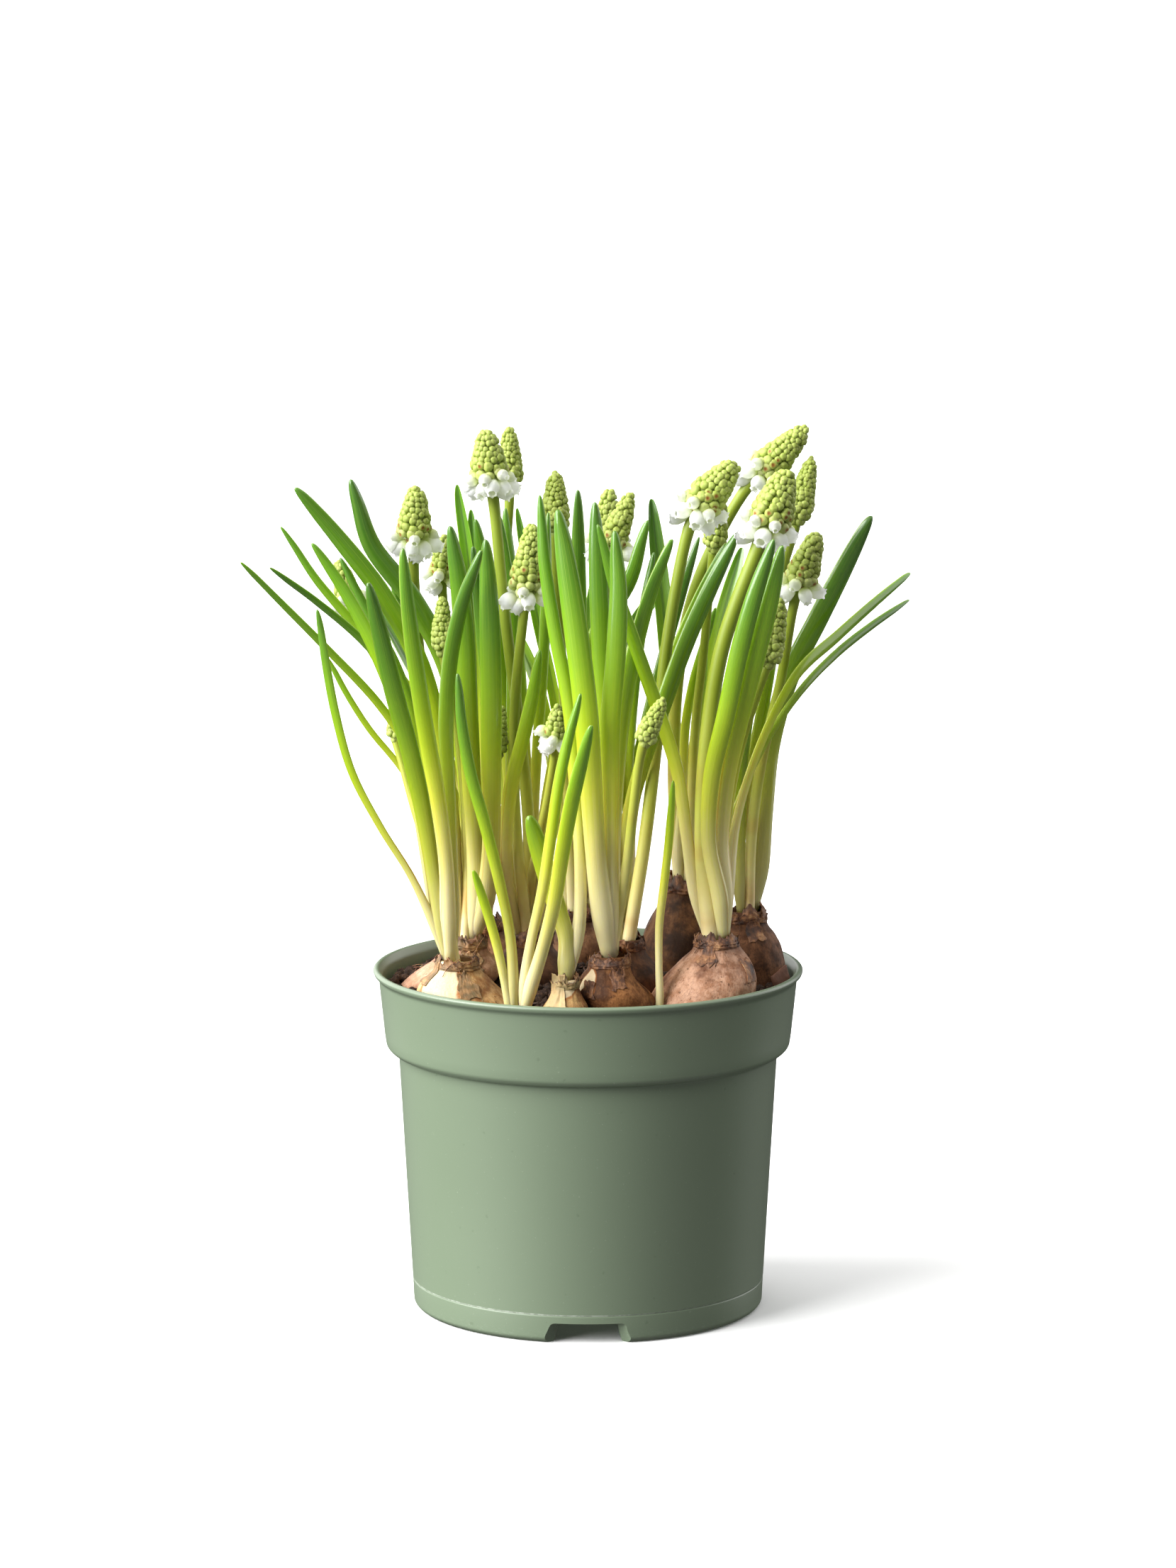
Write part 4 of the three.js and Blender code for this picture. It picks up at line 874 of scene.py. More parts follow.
f.feed(
    Base_Color=skin,
    Roughness=0.46 + 0.14 * mottle,
    Coat_Weight=0.40 + 0.50 * greening,
    Normal=f.relief(fibre * 0.7 + speck * 0.2, 0.09, 0.9),
)
print("leaf finish: cream foot, lime middle, deep green tip")

# %% [markdown]
# A flat strip with a texture would look like paper, so each blade is a closed skin: nearly round at its
# swollen foot, then a crescent with rounded edges that opens into a channel. A little twist and a tone
# of its own, drawn by lot, keep neighbours from looking alike.

# %% Leaf blades
STATIONS = 54
ACROSS, TURNED = circle(22)
GREENING_HEIGHT = 105  # above the neck of its bulb, a leaf is fully green here
leaf_draw = np.random.default_rng(11)


def blade_section(width, shares):
    """How far the points of each section lie to the side of the midrib, and out of its back."""
    swollen = lerp(1.26, 1.0, smoothstep(shares, 0.02, 0.28))
    half = np.maximum(width / 2 * leaf_width(shares, 0.42) * swollen, 0.12)
    opened = smoothstep(shares, 0.02, 0.5)
    deep = np.minimum(leaf_thickness(width, shares) * lerp(1.0, 0.92, opened) * swollen, half * 1.1)
    opened = opened[:, None]
    crown = np.abs(TURNED) ** lerp(0.95, 1.25, opened)
    channel = lerp(0.0, 0.72, opened) * (1 - np.abs(ACROSS) ** 1.6) - 0.16 * np.abs(TURNED)
    channel -= lerp(0.26, 0.0, opened) * np.abs(TURNED)
    rise = np.where(TURNED > 0, crown, channel) - lerp(0.38, 0.5, opened)
    return (ACROSS * half[:, None])[..., None], (rise * deep[:, None])[..., None]


def blade(surface, strand, neck_height):
    """A closed channelled blade along a settled strand."""
    twist, tone = leaf_draw.uniform(-22, 22), leaf_draw.uniform(0, 1)
    shares = (1 - (1 - np.linspace(0, 1, STATIONS)) ** 1.45)[:-1]
    points = points_along(strand.points, shares)
    along, back, side = frames_along(points, np.array(float(strand.turn)))
    roll = np.radians(twist * shares**1.5)[:, None]
    back, side = back * np.cos(roll) + side * np.sin(roll), side * np.cos(roll) - back * np.sin(roll)
    sideways, outwards = blade_section(strand.row[0], shares)
    rings = points[:, None] + side[:, None] * sideways + back[:, None] * outwards
    tip, foot = points_along(strand.points, [1.0])[0], points[0] - along[0] * 0.5

    def greened(height, share):
        grown = smoothstep((height - neck_height) / GREENING_HEIGHT, -0.05, 1.15)
        return np.clip(0.56 * grown + 0.40 * share**1.3 + 0.16 * (tone - 0.5), 0, 1)

    surface.add_rings(
        rings, tip, foot, along=(shares[:, None], 1.0, 0.0), tone=tone, across=(ACROSS, 0, 0),
        greening=(greened(rings[..., 2], shares[:, None]), greened(tip[2], 1.0), greened(foot[2], 0.0)),
        inner=(np.clip(-TURNED * 2, 0, 1), 0, 0),
    )


print("a blade has", STATIONS, "sections of", len(ACROSS), "points")

# %% [markdown]
# At the bottom the leaves of a tuft are one fused sheath in the mouth of the bulb. It is a round
# strand, made with the same helper as stalks, threads and straws.

# %% Leaf tufts
def tube(surface, points, radii, around=12, **values):
    """A round strand closed at both ends."""
    points, radii = np.asarray(points, float), np.asarray(radii, float)
    along, back, side = frames_along(points, np.array(0.0))
    cosine, sine = (c[:, None] for c in circle(around))
    rings = points[:, None] + (side[:, None] * cosine + back[:, None] * sine) * radii[:, None, None]
    spread = {k: (v[:, None], v[-1], v[0]) if np.ndim(v) else v for k, v in values.items()}
    surface.add_rings(rings, points[-1], points[0], **spread)


def sheath(surface, plant):
    """The fused leaf bases that stand in the mouth of the bulb."""
    rise = np.array([-5.5, -3.4, -2.2, -1.4, -0.9, -0.7])
    width = np.array([0.9, 0.96, 0.94, 0.82, 0.55, 0.2]) * sheath_radius(plant)
    points = plant.neck + np.array([0, 0, 1]) * rise[:, None]
    tube(surface, points, width, 20, greening=0.0, along=0.0, tone=0.5, across=0.5, inner=0.0)


leaf_faces = 0
for plant in plants:
    tuft = Surface()
    sheath(tuft, plant)
    for strand in strands:
        if strand.plant == plant.name and strand.is_leaf:
            blade(tuft, strand, plant.neck[2])
    made = piece("tuft_" + plant.name, tuft, leaf_finish, "leaf", "leaves_" + plant.name)
    leaf_faces += len(made.data.polygons)
young = Surface()
blade(young, strands[-1], SHOOT_NECK)
piece("young_leaf", young, leaf_finish, "leaf", "shoot")
print("leaves:", leaf_faces, "faces")

# %% [markdown]
# ## Stalks and buds
# The head of a grape hyacinth is a cone of tight buds on a smooth, fleshy stalk. The stalk is cream in
# the bulb's mouth and olive in the light. The buds are pale green, and the oldest, low down, show a
# brown eye. Where the buds touch each other and the core, painted shade darkens them.

# %% Stalk and bud finishes
stalk_finish = Finish("stalk_skin", Subsurface_Weight=0.25, Subsurface_Radius=(0.6, 1.0, 0.2),
                      Subsurface_Scale=0.0018, IOR=1.42)
f = stalk_finish
ripe, tone = f.point_value("ripe"), f.point_value("tone")
streak = f.noise(1.0, 3.0, vector=f.vector(0.0, ripe * 5.0, tone * 30.0))
skin = f.ramp(ripe + (streak - 0.5) * 0.15, [
    (0.0, (234, 220, 172)), (0.16, (220, 208, 130)), (0.4, (186, 190, 78)), (0.75, (138, 152, 40)),
    (1.0, (134, 150, 46)),
])
skin = f.mix((1 - ripe.step(0.1, 0.75)) * streak.step(0.5, 0.7) * 0.5, skin, (190, 130, 66))
f.feed(Base_Color=skin, Roughness=0.38 + 0.15 * streak,
       Normal=f.relief(streak + f.noise(1200.0, 1.0) * 0.4, 0.06, 0.7))

bud_finish = Finish("bud_skin", Subsurface_Weight=0.3, Subsurface_Radius=(0.7, 1.0, 0.25),
                    Subsurface_Scale=0.0016, IOR=1.4)
f = bud_finish
ripe, eye, tone, outer = (f.point_value(n) for n in ("ripe", "eye", "tone", "outer"))
mottle = f.noise(700.0, 2.0)
skin = f.ramp(ripe + (mottle - 0.5) * 0.12 + (tone - 0.5) * 0.16, [
    (0.0, (202, 206, 160)), (0.18, (187, 195, 128)), (0.45, (166, 178, 93)), (0.75, (151, 166, 74)),
    (1.0, (157, 171, 83)),
])
# Painted shade: the backs of the buds, where they meet each other, and the core between them are darkened.
skin = f.mix((1 - outer.step(0.20, 0.8)) * 0.30, skin, (128, 146, 34))
skin = f.mix(eye, skin, (136, 74, 26))
f.feed(Base_Color=skin, Roughness=0.50 + 0.12 * mottle, Normal=f.relief(mottle, 0.06, 0.6))
print("stalk and bud finishes made")

# %% [markdown]
# A bud is a small turned berry with three shallow lobes that meet in a dimple. Spheres would be
# quicker, but the lobes and the dimple are what the eye takes for a bud and not a bead.

# %% One bud
BUD_PROFILE = np.array([  # reach outwards and radius, as shares of a bud's radius
    (-0.55, 0.80), (-0.05, 1.0), (0.34, 0.97), (0.60, 0.82), (0.76, 0.56), (0.84, 0.26),
])
BUD_EYE = np.array([0, 0, 0, 0, 0.1, 0.8])  # how brown each ring of a bud with an eye is
BUD_AROUND = 10


def add_bud(surface, centre, way, radius, ripe, eye, tone):
    helper = np.array([0.0, 0, 1]) if abs(way[2]) < 0.9 else np.array([1.0, 0, 0])
    side = unit(np.cross(helper, way))
    up = np.cross(way, side)
    angle = np.linspace(0, 2 * np.pi, BUD_AROUND, endpoint=False) + tone * 6
    reach, wide = BUD_PROFILE[:, :1], BUD_PROFILE[:, 1:]
    front = smoothstep(reach, 0.2, 0.8)
    reach = reach * (1 + 0.05 * np.cos(3 * angle) * front) * radius
    wide = wide * (1 + (0.03 + 0.07 * front) * np.cos(3 * angle)) * radius
    rings = (centre + way * reach[..., None]
             + (side * np.cos(angle)[:, None] + up * np.sin(angle)[:, None]) * wide[..., None])
    dimple = centre + way * lerp(0.84, 0.60, eye) * radius
    surface.add_rings(rings, dimple, ripe=ripe, tone=tone, eye=(BUD_EYE[:, None] * eye, eye),
                      outer=(np.clip(BUD_PROFILE[:, :1] + 0.55, 0, 1), 1.0))


print("a bud has", len(BUD_PROFILE) * BUD_AROUND + 1, "points")

# %% [markdown]
# The buds sit in rows like cobbles, each row half a bud round from the one below, with a little play
# so that no two heads are alike. They are largest at the foot and point more and more upwards.

# %% A head of buds
bud_draw = np.random.default_rng(23)
FIRST_ROW, LAST_ROW = 0.06, 0.97  # shares of the cone
ROW_STEP, BUD_STEP = 1.40, 1.66  # in bud radii


def cone_shape(share):
    swell = smoothstep(share, -0.12, 0.22)
    tip = np.sqrt(np.clip(1 - np.clip((share - 0.80) / 0.20, 0, None) ** 2, 0, 1))
    return swell * (1 - 0.62 * np.clip(share, 0, 1) ** 1.5) * tip


def head_axis(strand, shares):
    """Point and directions along the bud cone, share 0 at its foot and 1 at its tip."""
    shares = np.atleast_1d(shares)
    route = strand.points[STEPS - 3:]
    points, ahead, behind = (
        points_along(route, np.clip(shares + step, 0, 1)) for step in (0, 0.02, -0.02)
    )
    along = unit(ahead - behind)
    points = points + along * ((shares - np.clip(shares, 0, 1)) * strand.row[2])[:, None]
    side = unit(np.array([1.0, 0, 0]) - along * along[:, :1])
    return points, along, side, np.cross(along, side)


def bud_cone(surface, strand):
    """Rows of buds round a core, each row half a bud round from the last, the largest at the foot."""
    _, bud, cone, bells, *_ = strand.row
    foot_size, tip_size = (1.62, 0.98) if bells else (1.34, 0.92)
    foot_size, tip_size = (v * lerp(0.80, 1.0, (bud - 2) / 3.4) for v in (foot_size, tip_size))
    core = np.linspace(0, 1, 14)
    core_radius = np.maximum(bud * cone_shape(core) * 0.86, 0.25)
    tube(surface, head_axis(strand, core)[0], core_radius, 14, ripe=0.6, tone=0.5, eye=0.0, outer=0.1)
    share, row, number = FIRST_ROW, 0, 0
    while share < LAST_ROW:
        size = lerp(foot_size, tip_size, smoothstep(share, 0.0, 0.75))
        ring = max(bud * cone_shape(share) * 1.14 - size * 0.72, 0.0)
        count = max(int(round(2 * math.pi * (ring + size * 0.3) / (BUD_STEP * size))), 3)
        for i in range(count):
            spot = share + bud_draw.uniform(-0.5, 0.5) * size / cone
            turn = (i + 0.5 * (row % 2) + bud_draw.uniform(-0.22, 0.22)) / count
            angle = 2 * math.pi * turn + row * 0.21
            point, along, side, across = (v[0] for v in head_axis(strand, spot))
            out = side * math.cos(angle) + across * math.sin(angle)
            way = unit(out + along * (lerp(-0.30, 0.6, share**1.2) + bud_draw.uniform(-0.15, 0.15)))
            own = size * bud_draw.uniform(0.86, 1.14)
            eye = 1.0 if bells and share < 0.42 and bud_draw.uniform() < 0.75 - share else 0.0
            pale = smoothstep(share, -0.1, 0.6) if bells else 0.45 + 0.4 * share
            add_bud(surface, point + out * ring, way, own, float(pale), eye, bud_draw.uniform())
            number += 1
        share += ROW_STEP * size / cone
        row += 1
    point, along, *_ = (v[0] for v in head_axis(strand, LAST_ROW))
    add_bud(surface, point - along * 0.4, along, tip_size * 1.1, 0.9, 0.0, 0.5)
    return number


print("half way up, a head is", round(float(cone_shape(0.5)), 2), "of its width")

# %% [markdown]
# A stalk narrows slowly and swells again just under its head. Stalk and head are two pieces, because
# the stalk is smooth skin and the head is hundreds of small parts.

# %% Stalks with their heads
RIPE_HEIGHT = 95  # above its foot, a stalk is fully green here


def stalk_mesh(surface, strand):
    shares = np.linspace(0, 1, 44)
    length = measured(strand.points)[1][-1]
    neck = 1 - (strand.row[2] - 1.0) / length
    points = points_along(strand.points, shares * neck)
    radii = strand.row[0] * lerp(1.0, 0.82, shares)
    radii[-5:] *= np.linspace(1, 1.15, 5)
    ripe = np.clip((points[:, 2] - points[0, 2]) / RIPE_HEIGHT, 0, 1)
    tube(surface, points, radii, 14, ripe=ripe, tone=bud_draw.uniform())


buds = 0
numbers = {}
for strand in strands:
    if strand.is_leaf:
        continue
    numbers[strand.plant] = numbers.get(strand.plant, 0) + 1
    strand.label = f"{strand.plant}_{numbers[strand.plant]}"
    stem, head = Surface(), Surface()
    stalk_mesh(stem, strand)
    piece("stalk_" + strand.label, stem, stalk_finish, "stalk_and_buds")
    buds += bud_cone(head, strand)
    piece("head_" + strand.label, head, bud_finish, "stalk_and_buds", "spike_" + strand.label)
print(sum(numbers.values()), "heads with", buds, "buds")

# %% [markdown]
# ## Open bells
# Under the cone the oldest flowers have opened: white urns, pinched below the mouth, with six short
# lobes that curl out. Petals this thin pass light on from flower to flower; a faint glow of their own
# stands for the part that a render cuts short.

# %% Bell finish
bell_finish = Finish("bell_petal", Subsurface_Weight=1.0, Subsurface_Radius=(1.0, 1.0, 0.9),
                     Subsurface_Scale=0.0035, IOR=1.36, Emission_Strength=0.11)
f = bell_finish
down, inside = f.point_value("down"), f.point_value("inside")
mottle = f.noise(500.0, 2.0)
skin = f.ramp(down + (mottle - 0.5) * 0.06, [
    (0.0, (186, 203, 112)), (0.16, (204, 216, 150)), (0.34, (224, 229, 204)), (0.6, (233, 235, 230)),
    (1.0, (236, 237, 236)),
])
skin = f.mix(inside * 0.5, skin, (228, 236, 200))
f.feed(Base_Color=skin, Emission_Color=skin, Roughness=0.45 + 0.1 * mottle,
       Normal=f.relief(mottle, 0.05, 0.6))
print("bell finish made")

# %% [markdown]
# A bell is turned on its own axis, with the inner wall made too, so its mouth is truly hollow, and the
# lobes are a ripple that grows only at the rim. The younger flowers higher up are half shut.

# %% One bell
BELL_PROFILE = np.array([  # share of the length, share of the radius, going in at the end
    (0.0, 0.14), (0.03, 0.42), (0.12, 0.70), (0.26, 0.90), (0.44, 1.0), (0.60, 0.99), (0.74, 0.90),
    (0.85, 0.76), (0.91, 0.67), (0.96, 0.68), (1.0, 0.76), (0.985, 0.68), (0.92, 0.56), (0.84, 0.64),
    (0.60, 0.84), (0.32, 0.66),
])
BELL_INSIDE = np.array([0.0] * 11 + [0.3, 0.7, 1, 1, 1])
BELL_LOBES = 6
BELL_AROUND = 24


def add_bell(surface, top, way, length, radius, paleness, shut):
    """One flower; shut draws its mouth together."""
    side = unit(np.cross(way, [0.3, 0.9, 0.1]))
    up = np.cross(way, side)
    angle = np.linspace(0, 2 * np.pi, BELL_AROUND, endpoint=False)
    down, wide = BELL_PROFILE[:, :1], BELL_PROFILE[:, 1:]
    lobe = np.cos(BELL_LOBES * angle) * smoothstep(down, 0.86, 1.0) * (1 - shut)
    reach = (down + 0.04 * lobe) * length
    wide = (wide * (1 - 0.75 * shut * smoothstep(down, 0.55, 0.95)) + 0.05 * lobe) * radius
    rings = (top + way * reach[..., None]
             + (side * np.cos(angle)[:, None] + up * np.sin(angle)[:, None]) * wide[..., None])
    surface.add_rings(rings, top + way * 0.28 * length, top, inside=(BELL_INSIDE[:, None], 1.0, 0.0),
                      down=(down * paleness, 0.3 * paleness, 0.0))


print("a bell has", BELL_LOBES, "lobes and", len(BELL_PROFILE) * BELL_AROUND + 2, "points")

# %% [markdown]
# The bells hang in three whorls. The upper ones are young, greenish and nearly level, and the lowest
# are white and hang down over the stalk.

# %% Skirts of bells
WHORLS = [  # height on the cone, share of the bells, lean from straight down, size, paleness, shut
    (3.2, 0.75, 1.25, 0.82, 0.45, 0.45),
    (0.9, 0.80, 0.95, 1.00, 0.90, 0.15),
    (-1.9, 0.65, 0.52, 1.04, 1.00, 0.0),
]
BELL_RADIUS = 2.3
bell_draw = np.random.default_rng(37)


def skirt_of_bells(surface, strand):
    """Whorls of flowers, from half-shut green ones on the cone down to open white ones under it."""
    stalk, bud, cone, bells, *_ = strand.row
    size = lerp(0.8, 1.0, (bud - 3) / 2.8)
    total = 0
    for whorl, (height, part, lean, grown, paleness, shut) in enumerate(WHORLS):
        count = max(int(round(bells * part)), 3)
        for i in range(count):
            angle = 2 * math.pi * (i + 0.5 * whorl + bell_draw.uniform(-0.2, 0.2)) / count
            share = (height * size + bell_draw.uniform(-0.6, 0.6)) / cone
            foot, along, side, across = (v[0] for v in head_axis(strand, share))
            out = side * math.cos(angle) + across * math.sin(angle)
            leant = lean + bell_draw.uniform(-0.14, 0.14)
            way = unit(out * math.sin(leant) - along * math.cos(leant) + [0, 0, -0.15])
            way = unit(way + np.cross(out, along) * bell_draw.uniform(-0.2, 0.2))
            own = size * grown * bell_draw.uniform(0.90, 1.06)
            inner = max(stalk * 0.9, bud * cone_shape(share) * 0.72)
            start, top = foot + out * (inner - 0.5), foot + out * (inner + 0.3 + 0.8 * (height < 0))
            stem = [start, lerp(start, top, 0.5), top + way * 0.3]
            tube(surface, stem, [0.42, 0.38, 0.36], 8, down=0.15, inside=0.0)
            own_paleness = paleness * bell_draw.uniform(0.85, 1.0)
            own_shut = np.clip(shut + bell_draw.uniform(-0.15, 0.15), 0, 1)
            length = BELL_LENGTH * 1.06 * own
            add_bell(surface, top, way, length, BELL_RADIUS * own, own_paleness, own_shut)
            total += 1
    return total


open_bells = 0
for strand in strands:
    if strand.is_leaf or not strand.row[3]:
        continue
    skirt = Surface()
    open_bells += skirt_of_bells(skirt, strand)
    piece("skirt_" + strand.label, skirt, bell_finish, "bell_petals", "bells_" + strand.label)
print(open_bells, "open bells")

# %% [markdown]
# ## Bulbs
# A bulb is an onion in small: a fat body with fine wrinkles running from plate to neck, under a dry
# brown tunic. Each bulb has its own three tones, since no two tunics dry alike, and on a few of them the
# tunic has come off and bares a patch of cream flesh with a brown rim.

# %% Bulb finish
def bulb_finish_for(name, fresh, dry, dark, has_bare_patch):
    f = Finish("bulb_skin_" + name, Subsurface_Weight=0.06, Subsurface_Radius=(1.0, 0.6, 0.3),
               Subsurface_Scale=0.001, IOR=1.42, Specular_IOR_Level=0.2)
    around_x, around_y, rise = (f.point_value(n) for n in ("around_x", "around_y", "rise"))
    wrinkle = f.noise(300.0, 4.0, 0.65)
    vein = f.noise(1.0, 3.0, 0.6, f.vector(around_x * 9.0, around_y * 9.0, rise * 4.5))
    grain = f.noise(1700.0, 3.0, 0.6)
    blotch = f.noise(85.0, 4.0, 0.62)
    specks = f.noise(700.0, 2.0, 0.5)
    shade = f.mix(wrinkle.step(0.36, 0.64), fresh, dry)
    shade = f.mix(blotch.step(0.46, 0.64) * 0.9, shade, dark)
    shade = f.mix((1 - abs(vein - 0.5).step(0.0, 0.018)) * 0.4, shade, dark)
    shade = f.mix(grain.step(0.50, 0.70) * 0.34, shade, dark)
    shade = f.mix(rise.step(0.80, 1.0) * 0.7, shade, (78, 48, 30))
    shade = f.mix(specks.step(0.64, 0.72) * 0.6, shade, (56, 32, 20))
    if has_bare_patch:
        bareness = f.point_value("bare") + (blotch - 0.5) * 0.5
        shade = f.mix(bareness.step(0.36, 0.45) * 0.8, shade, (150, 88, 40))
        shade = f.mix(bareness.step(0.45, 0.52), shade, f.mix(grain, (212, 196, 168), (200, 176, 128)))
    f.feed(Base_Color=shade, Roughness=0.48 + 0.25 * wrinkle,
           Normal=f.relief(wrinkle * 0.5 + grain * 0.2 + vein * 0.3, 0.55, 0.8))
    return f


TUNICS = {  # fresh, dry and dark tones of each bulb's skin
    "01": ((206, 168, 118), (178, 130, 80), (120, 74, 42)),
    "02": ((198, 158, 132), (176, 132, 104), (128, 88, 64)),
    "03": ((176, 132, 92), (140, 96, 60), (82, 50, 32)),
    "04": ((200, 160, 104), (160, 112, 70), (96, 58, 34)),
    "05": ((156, 106, 64), (112, 70, 38), (56, 31, 16)),
    "06": ((94, 60, 36), (68, 43, 26), (36, 21, 12)),
    "07": ((108, 74, 52), (82, 53, 37), (46, 29, 20)),
    "08": ((188, 148, 122), (154, 110, 82), (90, 54, 36)),
    "09": ((122, 82, 54), (84, 53, 33), (38, 22, 13)),
    "10": ((106, 70, 40), (76, 47, 27), (38, 22, 12)),
    "11": ((130, 92, 64), (100, 66, 44), (58, 37, 25)),
    "12": ((136, 98, 70), (106, 70, 48), (60, 38, 26)),
}
print("tones for", len(TUNICS), "bulbs")

# %% [markdown]
# The body is turned from the solid's own outline, made smooth, leaned like the solid, and roughened
# with lumps and long ridges. Relief in the finish alone would leave the outline too perfect.

# %% Bulb skin
BULB_AROUND, BULB_RINGS = 84, 48
NECK_DEPTH = 5.5  # how far down the mouth of the neck is open


def bulb_profile(plant):
    outline = bulb_outline(plant)
    route = [(0, outline[0, 1], 0), *[(r, z, 0) for r, z in outline]]
    return points_along(route, np.linspace(0, 1, BULB_RINGS))[1:, :2]


def skin_point(plant, z, angle, radius=None, off=0.0):
    """A point on the bulb's skin: its turned outline with lumps and long soft wrinkles, leaned."""
    z, angle = np.broadcast_arrays(np.asarray(z, float), angle)
    profile = bulb_profile(plant)
    if radius is None:
        radius = np.interp(z, profile[:, 1], profile[:, 0])
    radius = np.broadcast_to(radius, z.shape)
    direction = np.stack([np.cos(angle), np.sin(angle)], -1)
    wrinkles = np.concatenate([direction * 5, z[..., None] * 0.22], -1)
    body = np.concatenate([direction * radius[..., None], z[..., None]], -1)
    seed = int(plant.name)
    rough = lumps(wrinkles, 1.0, seed) * 0.16 + lumps(wrinkles * 2.6, 1.0, seed + 5) * 0.09
    rough = rough + lumps(body, 7.0, seed + 9) * 0.55 + lumps(body, 2.6, seed + 11) * 0.14
    rough = rough * smoothstep(plant.neck[2] + 0.5 - z, 0, 3) * smoothstep(radius, 1, 5)
    middle = bulb_middle(plant, np.minimum(z, plant.neck[2]))
    xy = direction * (radius + rough + off)[..., None] + middle
    return np.concatenate([xy, z[..., None]], -1)


print("a bulb's skin has", BULB_RINGS, "rings of", BULB_AROUND, "points")

# %% [markdown]
# The neck is open at the top, so that the leaves stand in a real socket and not on a lid. Patches of
# bare flesh are one more value on the mesh, highest in the middle of the patch.

# %% Bulb bodies
BARE_PATCHES = {  # the way each faces from the front, its height, and how wide and tall it is
    "01": (-30, 98.5, 0.75, 8.5), "04": (-14, 100, 1.2, 4.0), "05": (-58, 99, 0.45, 4.0),
}


def bulb_body(surface, plant):
    profile = bulb_profile(plant)
    low, top = profile[0, 1], plant.neck[2]
    socket = plant.collar[0] - COLLAR_WALL
    lip = (lerp(plant.collar[0], socket, 0.5), top + 0.25)
    profile = np.vstack([profile, [lip, (socket, top - 0.3), (socket, top - NECK_DEPTH)]])
    angle = np.linspace(0, 2 * np.pi, BULB_AROUND, endpoint=False)
    share = (profile[:, 1:] - low) / (top - low)
    bare = 0.0
    if plant.name in BARE_PATCHES:
        toward, height, wide, tall = BARE_PATCHES[plant.name]
        aside = np.angle(np.exp(1j * (angle[None] - math.radians(toward - 90))))
        bare = np.clip(1 - np.hypot(aside / wide, (profile[:, 1:] - height) / tall) * 0.6, 0, 1)
    surface.add_rings(
        skin_point(plant, profile[:, 1:], angle[None], profile[:, :1]),
        [*plant.neck[:2], top - NECK_DEPTH], [*plant.at, low],
        around_x=(np.cos(angle), 0, 0), around_y=(np.sin(angle), 0, 0), rise=(share, 1.0, 0.0),
        bare=(bare, 0, 0),
    )


for plant in plants:
    body = Surface()
    bulb_body(body, plant)
    finish = bulb_finish_for(plant.name, *TUNICS[plant.name], plant.name in BARE_PATCHES)
    piece("bulb_body_" + plant.name, body, finish, "bulb_skin", "bulb_" + plant.name)
print("twelve bulb bodies")

# %% [markdown]
# ## Torn tunics
# The dry tunic splits as a bulb swells and hangs on as rags. They are paper-thin, mottled brown, and
# darker where they have weathered at the top.

# %% Paper finish
paper_finish = Finish("torn_paper", Subsurface_Weight=0.1, Subsurface_Radius=(1.0, 0.5, 0.2),
                      Subsurface_Scale=0.001)
f = paper_finish
rise = f.point_value("rise")
grain = f.noise(900.0, 4.0, 0.6)
blotch = f.noise(240.0, 3.0, 0.6)
shade = f.ramp(grain * 0.35 + blotch * 0.65, [
    (0.36, (50, 30, 19)), (0.47, (92, 58, 37)), (0.56, (140, 95, 60)), (0.68, (190, 146, 102)),
])
shade = f.mix(rise.step(0.6, 1.0) * 0.5, shade, (62, 37, 24))
shade = f.mix(f.point_value("pale") * (1 - rise.step(0.75, 1.0)), shade, (214, 190, 130))
f.feed(Base_Color=shade, Roughness=0.55 + 0.2 * grain,
       Normal=f.relief(grain * 0.6 + blotch * 0.4, 0.3, 0.8))
print("paper finish made")

# %% [markdown]
# A texture can't give a torn outline, so the rags are thin closed sheets. Round each neck stand three
# shells, one in the other, whose tops are torn by lumps of three sizes.

# %% Torn rings
PALE_RAGS = {"04": 0.45, "01": 0.15, "02": 0.15}  # how fresh and pale a bulb's rags still are
RING_LAYERS, RING_AROUND, RING_ROWS = 3, 112, 8
RING_INSIDE, RING_OUTSIDE = 0.02, 0.20  # off the bulb's skin
RAG_SEED = 40


